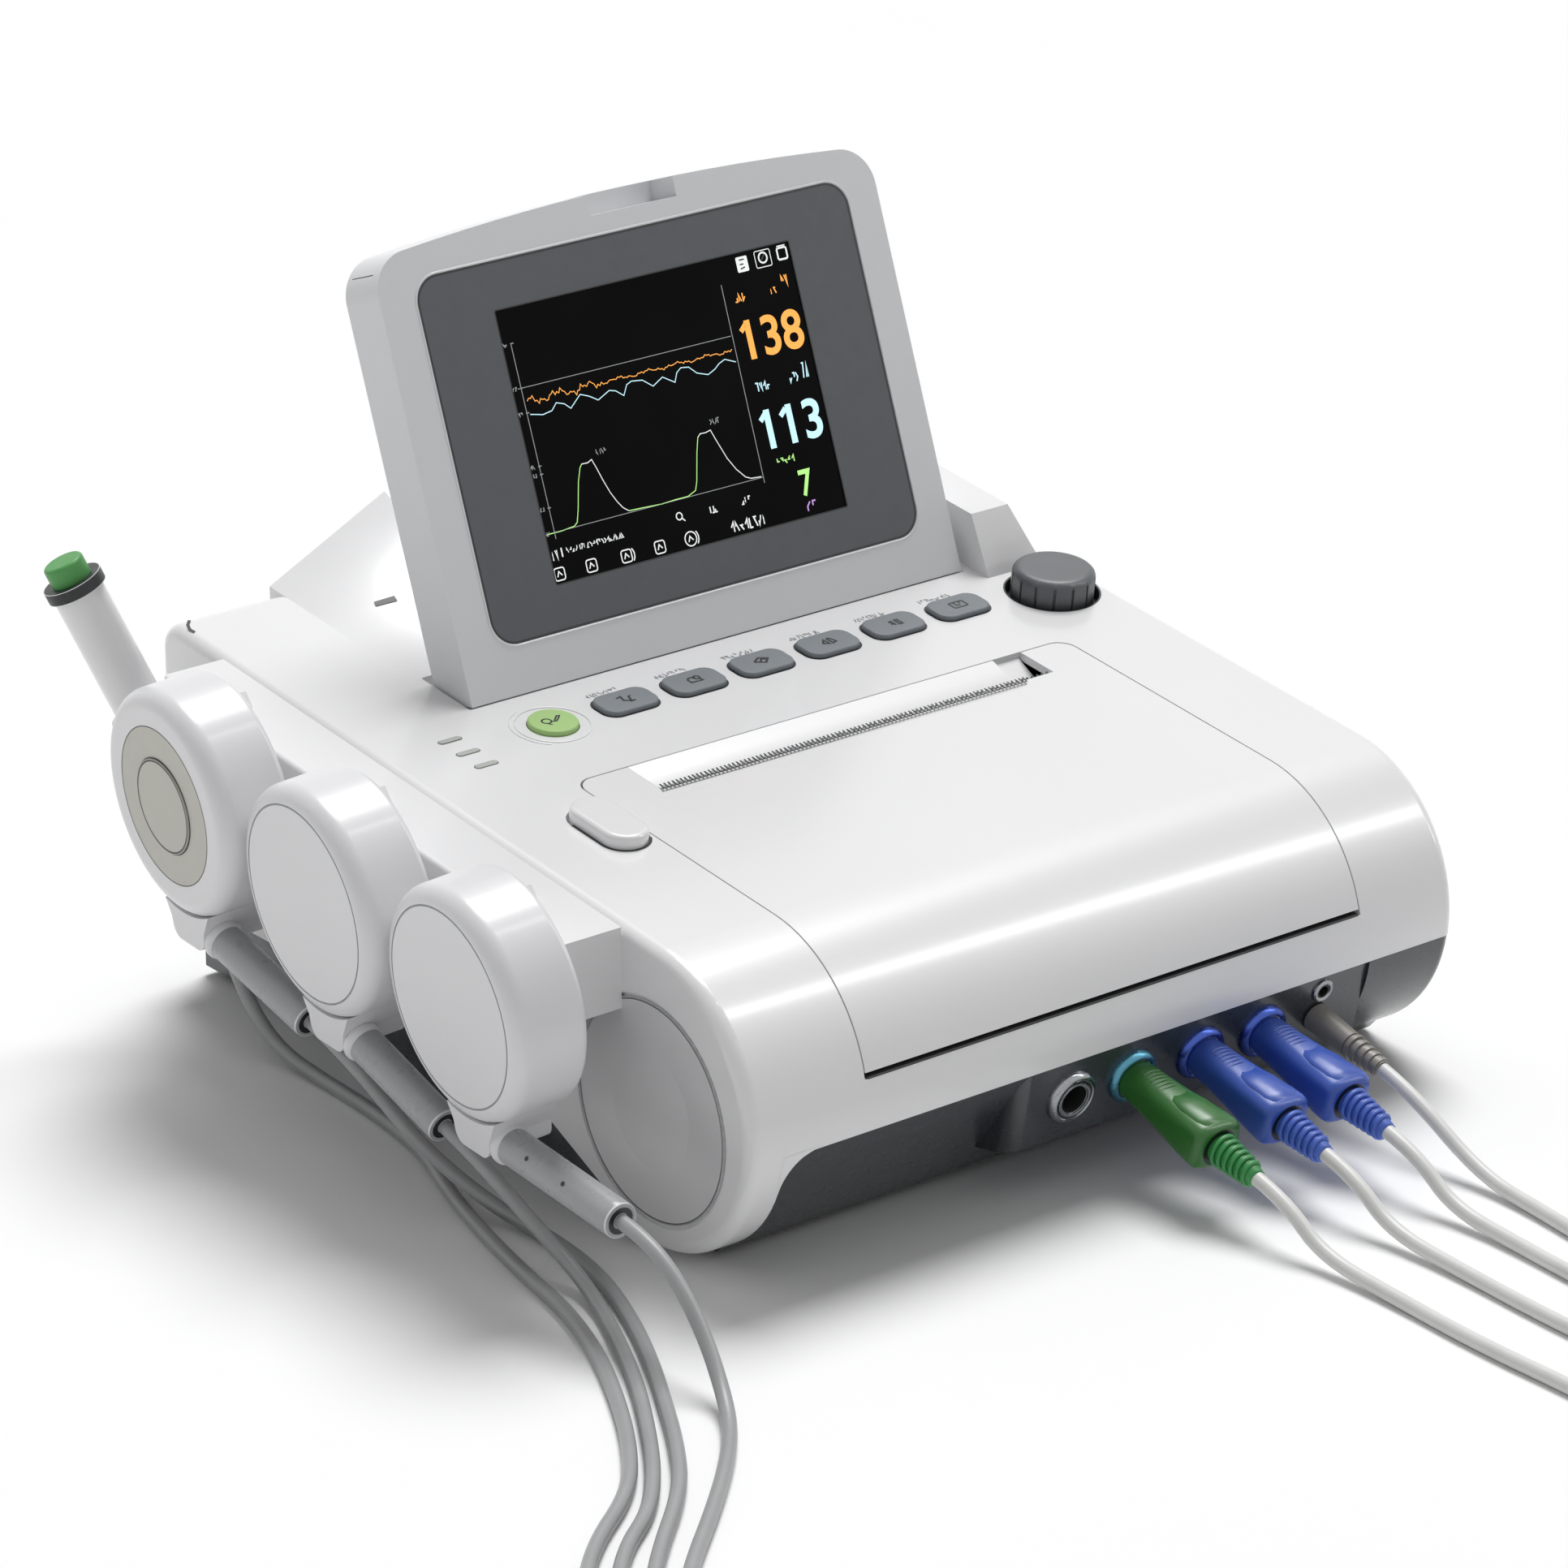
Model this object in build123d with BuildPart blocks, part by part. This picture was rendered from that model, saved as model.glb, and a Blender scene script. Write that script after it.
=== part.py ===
from build123d import *
import os
from math import acos, atan2, cos, hypot, pi, radians, sin, sqrt, tan

# A bedside fetal and maternal monitor: a tilting display, a strip recorder under a front
# door, three parked belt transducers, an event marker, and their plugged-in cords.
# Frame: +X right, +Y back, +Z up, origin on the floor under the middle of the object
# without its cords. Millimetres and degrees.

os.makedirs("parts", exist_ok=True)

# ---------------------------------------------------------------- driving dimensions
# body
body_left = -109.0
body_right = 161.0
body_rear = 143.0
shell_wall = 3.0
foot_height = 3.0
nose_radius = 47.0
nose_y = -103.0
nose_z = foot_height + nose_radius
deck_slope = 6.0
rear_corner_radius = 9.0
end_radius = 4.0
seam_z = 44.0
split_gap = 0.3
end_cap_width = 12.5
tub_belly_y = -134.0
tub_belly_z = 22.0
tub_foot_y = -118.0
tub_inner_y = -114.0
tub_step_y = -127.0
tub_step_z = 20.0
tub_front_wall_y = -135.5
tub_front_wall_z = 30.5
ledge_inset = 1.5
tub_post_radius = 4.0
board_post_radius = 3.5

# raised back of the deck, on which the display folds
hump_front_y = 66.0
hump_rise = 21.5
hump_foot_left = -68.0
hump_top_left = -24.0
hump_top_right = 128.0
shoulder_left = 131.0
shoulder_top_right = 146.0
shoulder_foot_right = 153.0
shoulder_front_y = 34.0
shoulder_rise = 18.0

# recorder door and paper
door_left = -66.6
door_right = 122.3
door_rear_y = -12.4
door_slot_z = 60.0
door_slot_height = 1.8
door_wall = 2.6
door_gap = 0.5
door_corner_radius = 6.0
door_cheek = 3.0
door_cheek_depth = 9.0
door_arm_radius = 6.0
door_hinge_y = -145.0
door_hinge_z = 65.0
door_pin_radius = 1.25
door_boss_radius = 3.4
door_pin_length = 9.0
trough_left = -47.0
trough_right = 105.0
trough_front_y = -28.0
trough_depth = 9.0
guide_end_width = 11.0
guide_end_drop = 2.6
guide_wall = 2.0
tooth_pitch = 2.0
tooth_depth = 1.4
tooth_side = sqrt(tooth_depth**2 + tooth_pitch**2 / 4)
tear_bar_thickness = 1.0
platen_radius = 7.0
platen_length = 154.0
platen_shaft_radius = 2.5
platen_y = -41.0
platen_drop = 15.0
gear_teeth = 24
pinion_teeth = 12
gear_module = 0.8
gear_width = 5.0
tooth_backlash = 0.12
gear_clearance = 0.5
pinion_lean = 12.5
motor_side = 35.0
motor_length = 25.0
motor_shaft_radius = 2.0
paper_length = 90.0
paper_width = 150.0
paper_height = 22.0
tray_wall = 2.0
tray_front_y = -134.0
tray_rear_y = -38.0
tray_floor_z = 34.0
tray_height = 26.0

# door latch
latch_x = -75.6
latch_y = -41.0
latch_width = 14.6
latch_length = 29.0
latch_proud = 4.2
button_gap = 0.4
latch_gap = 0.9

# display
display_tilt = 20.6
display_base_y = 41.9
display_toe = 0.4
display_left = -64.0
display_width = 190.5
display_height = 137.0
display_crown = 5.0
display_front_depth = 7.0
display_rear_depth = 11.0
display_corner = 13.0
display_wall = 2.4
bezel_left = -50.3
bezel_width = 164.0
bezel_bottom = 16.0
bezel_height = 112.5
bezel_corner = 8.0
bezel_thickness = 1.6
screen_sink = 0.3
screen_left = -24.5
screen_width = 112.9
screen_height = 84.7
screen_bottom = 29.5
notch_left = 17.9
notch_width = 32.7
notch_depth = 6.5
hinge_up = 11.0
hinge_back = 14.0
barrel_radius = 8.0
trough_gap = 0.5
hinge_pin_radius = 2.5
knuckle_radius = 5.0
knuckle_width = 8.0
knuckle_gap = 0.4
hinge_pin_length = 16.0
hinge_inset = 12.0
running_gap = 0.06

# keys and knob
key_count = 6
key_first_x = -22.0
key_pitch = 26.0
key_y = 21.6
key_width = 20.0
key_depth = 12.5
key_corner = 4.5
key_proud = 1.6
key_travel = 1.0
key_flange = 1.2
key_board_drop = 9.5
key_board_width = 24.0
start_x = -49.4
start_y = 21.3
start_radius = 7.8
knob_x = 142.6
knob_y = 16.8
knob_radius = 13.5
knob_well_radius = 15.0
knob_height = 8.4
knob_flutes = 12
knob_flute_radius = 1.6
knob_shaft_radius = 3.0
knob_travel = 0.8
light_x = -82.0
light_rows = (28.7, 19.5, 10.3)
light_width = 8.0
light_depth = 2.2

# transducer rack and transducers
rack_left = -131.0
rack_front_y = -91.0
rack_rear_y = 108.0
rack_depth = 25.0
transducer_y = (65.0, -6.5, -78.0)
transducer_gap = 3.9
transducer_lean = 5.0
transducer_yaw = 4.0
transducer_radius = 35.5
transducer_front_depth = 17.0
transducer_back_depth = 7.0
transducer_edge = 5.5
transducer_drop = 15.5
stud_radius = 6.5
stud_length = 8.0
stud_clearance = 0.08
catch_offset = 15.0
relief_radius = 5.4
relief_forward = 6.0
relief_drop = 41.0
relief_lengths = (52.0, 48.0, 58.0)
relief_falls = (13.5, 17.0, 5.0)
relief_out = 16.0
transducer_wall = 2.5
groove_radius = 30.5
button_travel = 1.0
tab_width = 17.0
tab_root_width = 28.0
tab_root_drop = 31.0
tab_low = 45.5
tab_depth = 21.0
catch_side = 12.0
catch_thickness = 5.0
ring_outer = 24.8
ring_inner = 14.8

# event marker
marker_base = (-118.5, 120.4, 79.0)
marker_axis = (-0.34, 0.24, 0.907)
marker_radius = 8.0
marker_length = 68.0
marker_neck = 9.4
marker_neck_length = 4.0
marker_button_radius = 6.4
marker_button_height = 6.5
marker_button_travel = 1.5
holder_wall = 2.0
holder_length = 20.0
holder_start = 5.0
holder_low = 84.0
holder_y = 109.0
holder_block = 18.0
marker_relief_radius = 4.0
marker_relief_length = 8.0

# patient sockets and plugs
socket_x = (12.5, 36.0, 62.6, 87.2)
socket_z = 31.0
socket_pitch_down = 13.0
socket_face_y = -148.4
socket_block_left = -8.5
socket_block_bottom = 17.0
block_corner = 5.0
socket_radius = 7.6
socket_length = 12.0
socket_bore = 4.6
socket_proud = 2.0
jack_x = (109.8, 109.0)
jack_z = (38.4, 29.6)
jack_radius = 3.0
jack_bore = 1.75
plug_length = 38.0
plug_width = 17.5
plug_height = 15.0
boot_length = 17.0
boot_radius = 5.2
boot_end_radius = 3.4
boot_ribs = 5
plug_tip = 8.0
plug_ring = 6.0
marker_plug_radius = 4.6
marker_plug_length = 16.0
marker_boot_length = 14.0
cord_radius = 2.25
coil_turn_radii = (20.0, 24.5, 29.0)
coil_layers = 4

# inside
board_thickness = 1.6
display_board_depth = 2.4
supply_x = 112.0
supply_width = 76.0
speaker_x = -72.0
speaker_y = -68.0
speaker_radius = 20.0

# ---------------------------------------------------------------- worked-out places
slope = radians(deck_slope)
body_width = body_right - body_left
deck_zero = nose_z + nose_radius / cos(slope) - nose_y * tan(slope)


def deck_z(y):
    """Height of the deck's surface at a distance back."""
    return deck_zero + y * tan(slope)


def deck_plane(x, y, lift=0.0):
    """A plane on the deck at (x, y), raised along the deck's normal."""
    return Plane(
        origin=(x, y - lift * sin(slope), deck_z(y) + lift * cos(slope)),
        x_dir=(1, 0, 0),
        z_dir=(0, -sin(slope), cos(slope)),
    )


def finish(builder, label):
    """Name a finished piece and write it."""
    builder.part.label = label
    export_step(builder.part, f"parts/{label}.step")


def side_profile(inset):
    """The body's side outline, moved inwards by inset, in the sketch plane Plane.YZ."""
    r = nose_radius - inset
    rear = body_rear - inset
    top = deck_z(rear) - inset / cos(slope)
    tangent = (nose_y - r * sin(slope), nose_z + r * cos(slope))
    corner = max(rear_corner_radius - inset, 0.5)
    with BuildLine() as outline:
        deck = Polyline((rear, nose_z - r), (rear, top), tangent)
        fillet(deck.vertices().sort_by(Axis.X).sort_by(Axis.Z)[-1], corner)
        ThreePointArc(tangent, (nose_y - r, nose_z), (nose_y, nose_z - r))
        Line((nose_y, nose_z - r), (rear, nose_z - r))
    return outline.line


def body_solid(inset):
    """A sketch-extruded body, inset all round, as a private solid."""
    with BuildPart(mode=Mode.PRIVATE) as block:
        with BuildSketch(Plane.YZ.offset(body_left + inset)):
            with BuildLine():
                add(side_profile(inset))
            make_face()
        extrude(amount=body_width - 2 * inset)
        ends = block.faces().filter_by(Axis.X)
        fillet(ends.edges().filter_by(lambda e: e.center().Z > seam_z - 30), end_radius - inset)
    return block.part


def hump_solid(inset):
    """The raised back of the deck, inset, as a private solid."""
    foot = seam_z + 20
    rear = body_rear - inset
    with BuildPart(mode=Mode.PRIVATE) as wedge:
        for y, rise in ((hump_front_y + 3 * inset, 0.4), (rear, hump_rise)):
            with BuildSketch(Plane.XZ.offset(-y)):
                low = deck_z(y) - inset
                top = low + rise
                with BuildLine():
                    Polyline(
                        (hump_foot_left + inset, foot),
                        (hump_foot_left + inset, low),
                        (hump_top_left + inset, top),
                        (hump_top_right - inset, top),
                        (shoulder_foot_right - inset, low),
                        (shoulder_foot_right - inset, foot),
                        close=True,
                    )
                make_face()
        loft(ruled=True)
    return wedge.part


def shoulder_solid(inset):
    """The low ridge beside the display's right end, inset, as a private solid."""
    front_y = shoulder_front_y + inset
    length = (body_rear - inset - front_y) / cos(slope)
    top = shoulder_rise - inset
    front = deck_z(front_y)
    with BuildPart(mode=Mode.PRIVATE) as ridge:
        with BuildSketch(Plane.XZ.offset(-front_y)):
            with BuildLine():
                Polyline(
                    (shoulder_left + inset, seam_z + 20),
                    (shoulder_left + inset, front + top),
                    (shoulder_top_right - inset, front + top),
                    (shoulder_foot_right - inset, front),
                    (shoulder_foot_right - inset, seam_z + 20),
                    close=True,
                )
            make_face()
        extrude(dir=(0, cos(slope), sin(slope)), amount=length)
        with BuildSketch(Plane.YZ.offset(shoulder_left)):
            with BuildLine():
                Polyline(
                    (front_y, front),
                    (front_y, front + top + 1),
                    (front_y + top / 2, front + top + 1),
                    close=True,
                )
            make_face()
        extrude(amount=shoulder_foot_right - shoulder_left, mode=Mode.SUBTRACT)
    return ridge.part


# where the display turns, in the cross-section plane display_side: +x backwards, +y up
tilt = radians(display_tilt)
display_plane = Plane(
    origin=(0, display_base_y, deck_z(display_base_y)),
    x_dir=(1, 0, 0),
    z_dir=(0, -cos(tilt), sin(tilt)),
)
hinge_y = display_base_y + hinge_up * sin(tilt) + hinge_back * cos(tilt)
hinge_z = deck_z(display_base_y) + hinge_up * cos(tilt) - hinge_back * sin(tilt)
display_side = Plane(
    origin=(display_left, hinge_y, hinge_z),
    x_dir=(0, cos(tilt), -sin(tilt)),
    z_dir=(1, 0, 0),
)
face_at = -hinge_back
seam_at = display_front_depth - hinge_back
back_at = display_front_depth + display_rear_depth - hinge_back
toe_up = display_toe - hinge_up
barrel_angle = atan2(toe_up, face_at) + acos(barrel_radius / hypot(toe_up, face_at))
barrel_start = (barrel_radius * cos(barrel_angle), barrel_radius * sin(barrel_angle))
barrel_end = (back_at, -sqrt(barrel_radius**2 - back_at**2))
underside_slope = (barrel_start[1] - toe_up) / (barrel_start[0] - face_at)
seam_foot = (seam_at, toe_up + underside_slope * (seam_at - face_at))
display_right = display_left + display_width
display_middle = display_left + display_width / 2
hinge_centres = (display_left + hinge_inset, display_right - hinge_inset)
strip_line = [
    (nose_y + 4, 0),
    (nose_y + 13, 10),
    (nose_y + 63, 33),
    (body_rear + 1, 33),
]
rack_middle_x = (rack_left + body_left) / 2
key_last_x = key_first_x + (key_count - 1) * key_pitch
key_posts = [(x, y) for x in (start_x + key_pitch / 2, key_last_x + key_pitch / 2) for y in (-8, 8)]


def door_region(gap):
    """The space under the door's outer outline, widened by gap, as a private solid."""
    with BuildPart(mode=Mode.PRIVATE) as region:
        with BuildSketch(Plane.XY.offset(door_slot_z + (0 if gap else door_slot_height))):
            with BuildLine():
                Polyline(
                    (door_left - gap, nose_y - nose_radius - 5),
                    (door_left - gap, door_rear_y + gap),
                    (door_right + gap, door_rear_y + gap),
                    (door_right + gap, nose_y - nose_radius - 5),
                    close=True,
                )
            make_face()
            corners = vertices().group_by(Axis.Y)[-1]
            fillet(corners, door_corner_radius)
        extrude(amount=80)
    return region.part


# ---------------------------------------------------------------- covers
with BuildPart() as top_cover:
    add(body_solid(0))
    add(hump_solid(0))
    add(shoulder_solid(0))
    add(body_solid(shell_wall), mode=Mode.SUBTRACT)
    add(hump_solid(shell_wall), mode=Mode.SUBTRACT)
    add(shoulder_solid(shell_wall), mode=Mode.SUBTRACT)
    # below the seam only the left end of the nose and a side strip stay
    with BuildSketch(Plane.YZ.offset(body_left + end_cap_width)):
        with Locations((0, seam_z / 2)):
            Rectangle(2 * body_rear + 40, seam_z)
    extrude(amount=body_width, mode=Mode.SUBTRACT)
    with BuildSketch(Plane.YZ.offset(body_left - 1)):
        with BuildLine():
            Polyline(*strip_line, (body_rear + 1, 0), close=True)
        make_face()
    extrude(amount=end_cap_width + 2, mode=Mode.SUBTRACT)
    # the display's hinge trough, its walls, and the knuckles on its floor
    trough_front = hinge_y + toe_up * sin(tilt) + (face_at - trough_gap) * cos(tilt)
    trough_low = hinge_z - barrel_radius - trough_gap
    wall_front = trough_front - shell_wall
    wall_rear = hinge_y + barrel_radius + trough_gap + shell_wall
    with BuildSketch(Plane.YZ.offset(display_left - 1 - shell_wall)):
        with BuildLine():
            Polyline(
                (wall_front, deck_z(wall_front) - 1),
                (wall_rear, deck_z(wall_rear) - 1),
                (wall_rear, trough_low - shell_wall),
                (wall_front, trough_low - shell_wall),
                close=True,
            )
        make_face()
    extrude(amount=display_width + 2 + 2 * shell_wall)
    with BuildSketch(display_side.offset(-1)):
        Circle(barrel_radius + trough_gap)
        with BuildLine():
            Polyline(
                (0, 0),
                (face_at - trough_gap, 0),
                (face_at - trough_gap, toe_up - trough_gap),
                (barrel_start[0], barrel_start[1] - trough_gap),
                close=True,
            )
        make_face()
    extrude(amount=display_width + 2, mode=Mode.SUBTRACT)
    for x in hinge_centres:
        with BuildSketch(Plane.YZ.offset(x - knuckle_width / 2)):
            with Locations((hinge_y, hinge_z)):
                Circle(knuckle_radius)
            with Locations((hinge_y, (hinge_z + trough_low) / 2 - 1)):
                Rectangle(knuckle_radius + 0.8, hinge_z - trough_low + 2)
            with Locations((hinge_y, hinge_z)):
                Circle(hinge_pin_radius, mode=Mode.SUBTRACT)
        extrude(amount=knuckle_width)
    # the door's opening and the paper guide that fills its rear middle
    add(door_region(door_gap), mode=Mode.SUBTRACT)
    with BuildSketch(Plane.YZ.offset(trough_left + door_gap)):
        guide_rear = door_rear_y + 2
        guide_end = trough_front_y - 3
        guide_low = deck_z(guide_end) - trough_depth
        guide_mid = (guide_rear + guide_end) / 2
        mid_low = deck_z(guide_mid) - trough_depth * 0.32
        with BuildLine():
            ThreePointArc(
                (guide_rear, deck_z(guide_rear)),
                (guide_mid, mid_low),
                (guide_end, guide_low),
            )
            Line((guide_end, guide_low), (guide_end, guide_low - guide_wall))
            ThreePointArc(
                (guide_end, guide_low - guide_wall),
                (guide_mid, mid_low - guide_wall - 0.6),
                (guide_rear, deck_z(guide_rear) - shell_wall),
            )
            Line((guide_rear, deck_z(guide_rear) - shell_wall), (guide_rear, deck_z(guide_rear)))
        make_face()
    extrude(amount=trough_right - guide_end_width - trough_left - door_gap)
    # the lower, straighter step at the guide's right end
    with BuildSketch(Plane.YZ.offset(trough_right - guide_end_width)):
        with BuildLine():
            Polyline(
                (guide_rear, deck_z(guide_rear) - guide_end_drop / 2),
                (guide_mid, mid_low - guide_end_drop),
                (guide_end, guide_low - guide_end_drop),
                (guide_end, guide_low - guide_end_drop - guide_wall),
                (guide_mid, mid_low - guide_end_drop - guide_wall),
                (guide_rear, deck_z(guide_rear) - guide_end_drop / 2 - guide_wall),
                close=True,
            )
        make_face()
    extrude(amount=guide_end_width - door_gap)
    # keys, start key, knob well, indicator lights and latch
    key_places = [deck_plane(key_first_x + i * key_pitch, key_y) for i in range(key_count)]
    for place in key_places:
        with BuildSketch(place.offset(2)):
            RectangleRounded(key_width + 0.6, key_depth + 0.6, key_corner)
        extrude(amount=-8, mode=Mode.SUBTRACT)
    with BuildSketch(deck_plane(start_x, start_y, 2)):
        Circle(start_radius + 0.3)
    extrude(amount=-8, mode=Mode.SUBTRACT)
    knob_plane = deck_plane(knob_x, knob_y)
    with BuildSketch(knob_plane.offset(-6.5)):
        Circle(knob_well_radius + 2)
    extrude(amount=5)
    with BuildSketch(knob_plane.offset(-4.5)):
        Circle(knob_well_radius)
    extrude(amount=8, mode=Mode.SUBTRACT)
    with BuildSketch(knob_plane.offset(-8)):
        Circle(knob_shaft_radius + 0.4)
    extrude(amount=8, mode=Mode.SUBTRACT)
    for y in light_rows:
        with BuildSketch(deck_plane(light_x, y, 2)):
            SlotOverall(light_width, light_depth)
        extrude(amount=-8, mode=Mode.SUBTRACT)
    with BuildSketch(deck_plane(latch_x, latch_y, 2)):
        SlotOverall(latch_length + 2 * latch_gap, latch_width + 2 * latch_gap, rotation=90)
    extrude(amount=-8, mode=Mode.SUBTRACT)
    # bosses that hold the door's hinge pins, and posts that hold the key board
    for x in (door_left - door_gap - door_pin_length + door_cheek + door_gap, door_right + door_gap):
        with BuildSketch(Plane.YZ.offset(x)):
            with Locations((door_hinge_y, door_hinge_z)):
                Circle(door_boss_radius)
            with Locations((nose_y, nose_z)):
                Circle(nose_radius - 0.2, mode=Mode.INTERSECT)
        extrude(amount=door_pin_length - door_cheek - door_gap)
        with BuildSketch(Plane.YZ.offset(x)):
            with Locations((door_hinge_y, door_hinge_z)):
                Circle(door_pin_radius)
        extrude(amount=door_pin_length - door_cheek - door_gap, mode=Mode.SUBTRACT)
    with BuildSketch(deck_plane(0, key_y, -key_board_drop)):
        with Locations(*key_posts):
            Circle(3)
    extrude(amount=key_board_drop - shell_wall + 0.5)
    # the dished disc on the nose's left end
    with BuildSketch(Plane.YZ.offset(body_left - 1)):
        with Locations((nose_y - 1, nose_z - 4)):
            Circle(35)
            Circle(33.8, mode=Mode.SUBTRACT)
    extrude(amount=1.9, mode=Mode.SUBTRACT)
finish(top_cover, "top_cover")


seam_top = seam_z - split_gap
tub_left = body_left + end_cap_width + split_gap
tub_middle_x = (tub_left + body_right) / 2
tub_inner_width = body_right - tub_left - 2 * shell_wall
block_right = 127.0
face_run = tan(radians(socket_pitch_down))
block_foot_y = socket_face_y + (seam_z - socket_block_bottom) * face_run
tray_middle_x = (trough_left + trough_right) / 2
tray_width = paper_width + 4 + 2 * tray_wall
foot_places = [(x, y) for x in (body_left + 22, body_right - 22) for y in (nose_y + 22, body_rear - 20)]
tray_posts = [
    (tray_middle_x + side * (tray_width / 2 - 8), y)
    for side in (-1, 1)
    for y in (tub_inner_y + 2 * tub_post_radius, tray_rear_y - 8)
]
board_left, board_right, board_front, board_rear = -84.0, 66.0, -20.0, 126.0
board_z = 14.0
board_posts = [(x, y) for x in (board_left + 6, board_right - 6) for y in (board_front + 6, board_rear - 6)]
inlet_x, inlet_z, inlet_width, inlet_height = 112.0, 24.0, 27.0, 20.0

with BuildPart() as bottom_cover:
    with BuildSketch(Plane.YZ.offset(tub_left)):
        with BuildLine():
            ThreePointArc((socket_face_y, seam_top), (tub_belly_y, tub_belly_z), (tub_foot_y, foot_height))
            Polyline(
                (tub_foot_y, foot_height),
                (body_rear, foot_height),
                (body_rear, seam_top),
                (socket_face_y, seam_top),
            )
        make_face()
    extrude(amount=body_right - tub_left)
    with BuildSketch(Plane.YZ.offset(socket_block_left)):
        with BuildLine():
            Polyline(
                (socket_face_y, seam_top),
                (block_foot_y, socket_block_bottom),
                (block_foot_y + 16, socket_block_bottom - 3),
                (tub_foot_y, foot_height),
                (nose_y, foot_height),
                (nose_y, seam_top),
                close=True,
            )
        make_face()
    extrude(amount=block_right - socket_block_left)
    with BuildSketch(Plane.YZ.offset(block_right)):
        with Locations((nose_y, nose_z)):
            Circle(nose_radius - split_gap)
        with Locations((nose_y, seam_top + nose_radius)):
            Rectangle(4 * nose_radius, 2 * nose_radius, mode=Mode.SUBTRACT)
    extrude(amount=body_right - block_right)
    block_edges = bottom_cover.edges().filter_by(Axis.X, reverse=True).filter_by(
        lambda e: abs(e.center().X - socket_block_left) < 0.1 and e.center().Y < block_foot_y + 1
    )
    fillet(block_edges.sort_by(Axis.Z)[-1], block_corner)
    right_end = bottom_cover.faces().filter_by(Axis.X).sort_by(Axis.X)[-1]
    fillet(right_end.edges().filter_by(GeomType.CIRCLE), end_radius)
    # a ledge that closes the gap under the upper cover's left end
    with BuildSketch(Plane.YZ.offset(body_left + ledge_inset)):
        with BuildLine():
            Polyline(
                (strip_line[0][0] + 6, foot_height),
                (strip_line[1][0] + 1, strip_line[1][1] - split_gap),
                (strip_line[2][0], strip_line[2][1] - split_gap),
                (body_rear, strip_line[3][1] - split_gap),
                (body_rear, strip_line[3][1] - split_gap - shell_wall),
                (strip_line[2][0] + 1, strip_line[2][1] - split_gap - shell_wall),
                (strip_line[1][0] + 3, foot_height),
                close=True,
            )
        make_face()
    extrude(amount=end_cap_width + split_gap - ledge_inset)
    floor_top = foot_height + shell_wall
    with BuildSketch(Plane.XY.offset(floor_top)):
        with Locations((tub_middle_x, (tub_inner_y + body_rear - shell_wall) / 2)):
            Rectangle(tub_inner_width, body_rear - shell_wall - tub_inner_y)
    extrude(amount=seam_z, mode=Mode.SUBTRACT)
    for front_y, low in ((tub_step_y, tub_step_z), (tub_front_wall_y, tub_front_wall_z)):
        with BuildSketch(Plane.XY.offset(low)):
            with Locations((tub_middle_x, (front_y + tub_inner_y) / 2)):
                Rectangle(tub_inner_width, tub_inner_y - front_y)
        extrude(amount=seam_z, mode=Mode.SUBTRACT)
    with BuildSketch(Plane.XY.offset(floor_top)):
        with Locations(*tray_posts):
            Circle(tub_post_radius)
    extrude(amount=tray_floor_z - floor_top)
    with BuildSketch(Plane.XY.offset(floor_top)):
        with Locations(*board_posts):
            Circle(board_post_radius)
    extrude(amount=board_z - floor_top)
    with BuildSketch(Plane.XZ.offset(-body_rear)):
        with Locations((inlet_x, inlet_z)):
            Rectangle(inlet_width, inlet_height)
    extrude(amount=shell_wall + 1, mode=Mode.SUBTRACT)
    for x, z in [(x, socket_z) for x in socket_x]:
        place = Plane(
            origin=(x, socket_face_y + (seam_z - z) * face_run, z),
            x_dir=(1, 0, 0),
            z_dir=(0, -1, -face_run),
        )
        with BuildSketch(place.offset(4)):
            Circle(socket_radius)
        extrude(amount=-30, mode=Mode.SUBTRACT)
    for x, z in zip(jack_x, jack_z):
        place = Plane(
            origin=(x, socket_face_y + (seam_z - z) * face_run, z),
            x_dir=(1, 0, 0),
            z_dir=(0, -1, -face_run),
        )
        with BuildSketch(place.offset(4)):
            Circle(jack_radius)
        extrude(amount=-30, mode=Mode.SUBTRACT)
finish(bottom_cover, "bottom_cover")

with BuildPart() as feet:
    with BuildSketch(Plane.XY):
        with Locations(*foot_places):
            Circle(8)
    extrude(amount=foot_height)
    chamfer(feet.edges().group_by(Axis.Z)[0], 0.8)
finish(feet, "feet")

# ---------------------------------------------------------------- recorder
platen_z = deck_z(platen_y) - platen_drop
door_low = door_slot_z + door_slot_height
cheek_low = (door_wall + door_cheek_depth) / cos(slope)
gear_x = tray_middle_x + platen_length / 2 + 2


def door_skin():
    """The door's curved skin without its paper slot, as a private solid."""
    with BuildPart(mode=Mode.PRIVATE) as skin:
        add(body_solid(0))
        add(body_solid(door_wall), mode=Mode.SUBTRACT)
        add(door_region(0), mode=Mode.INTERSECT)
    return skin.part


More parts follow.
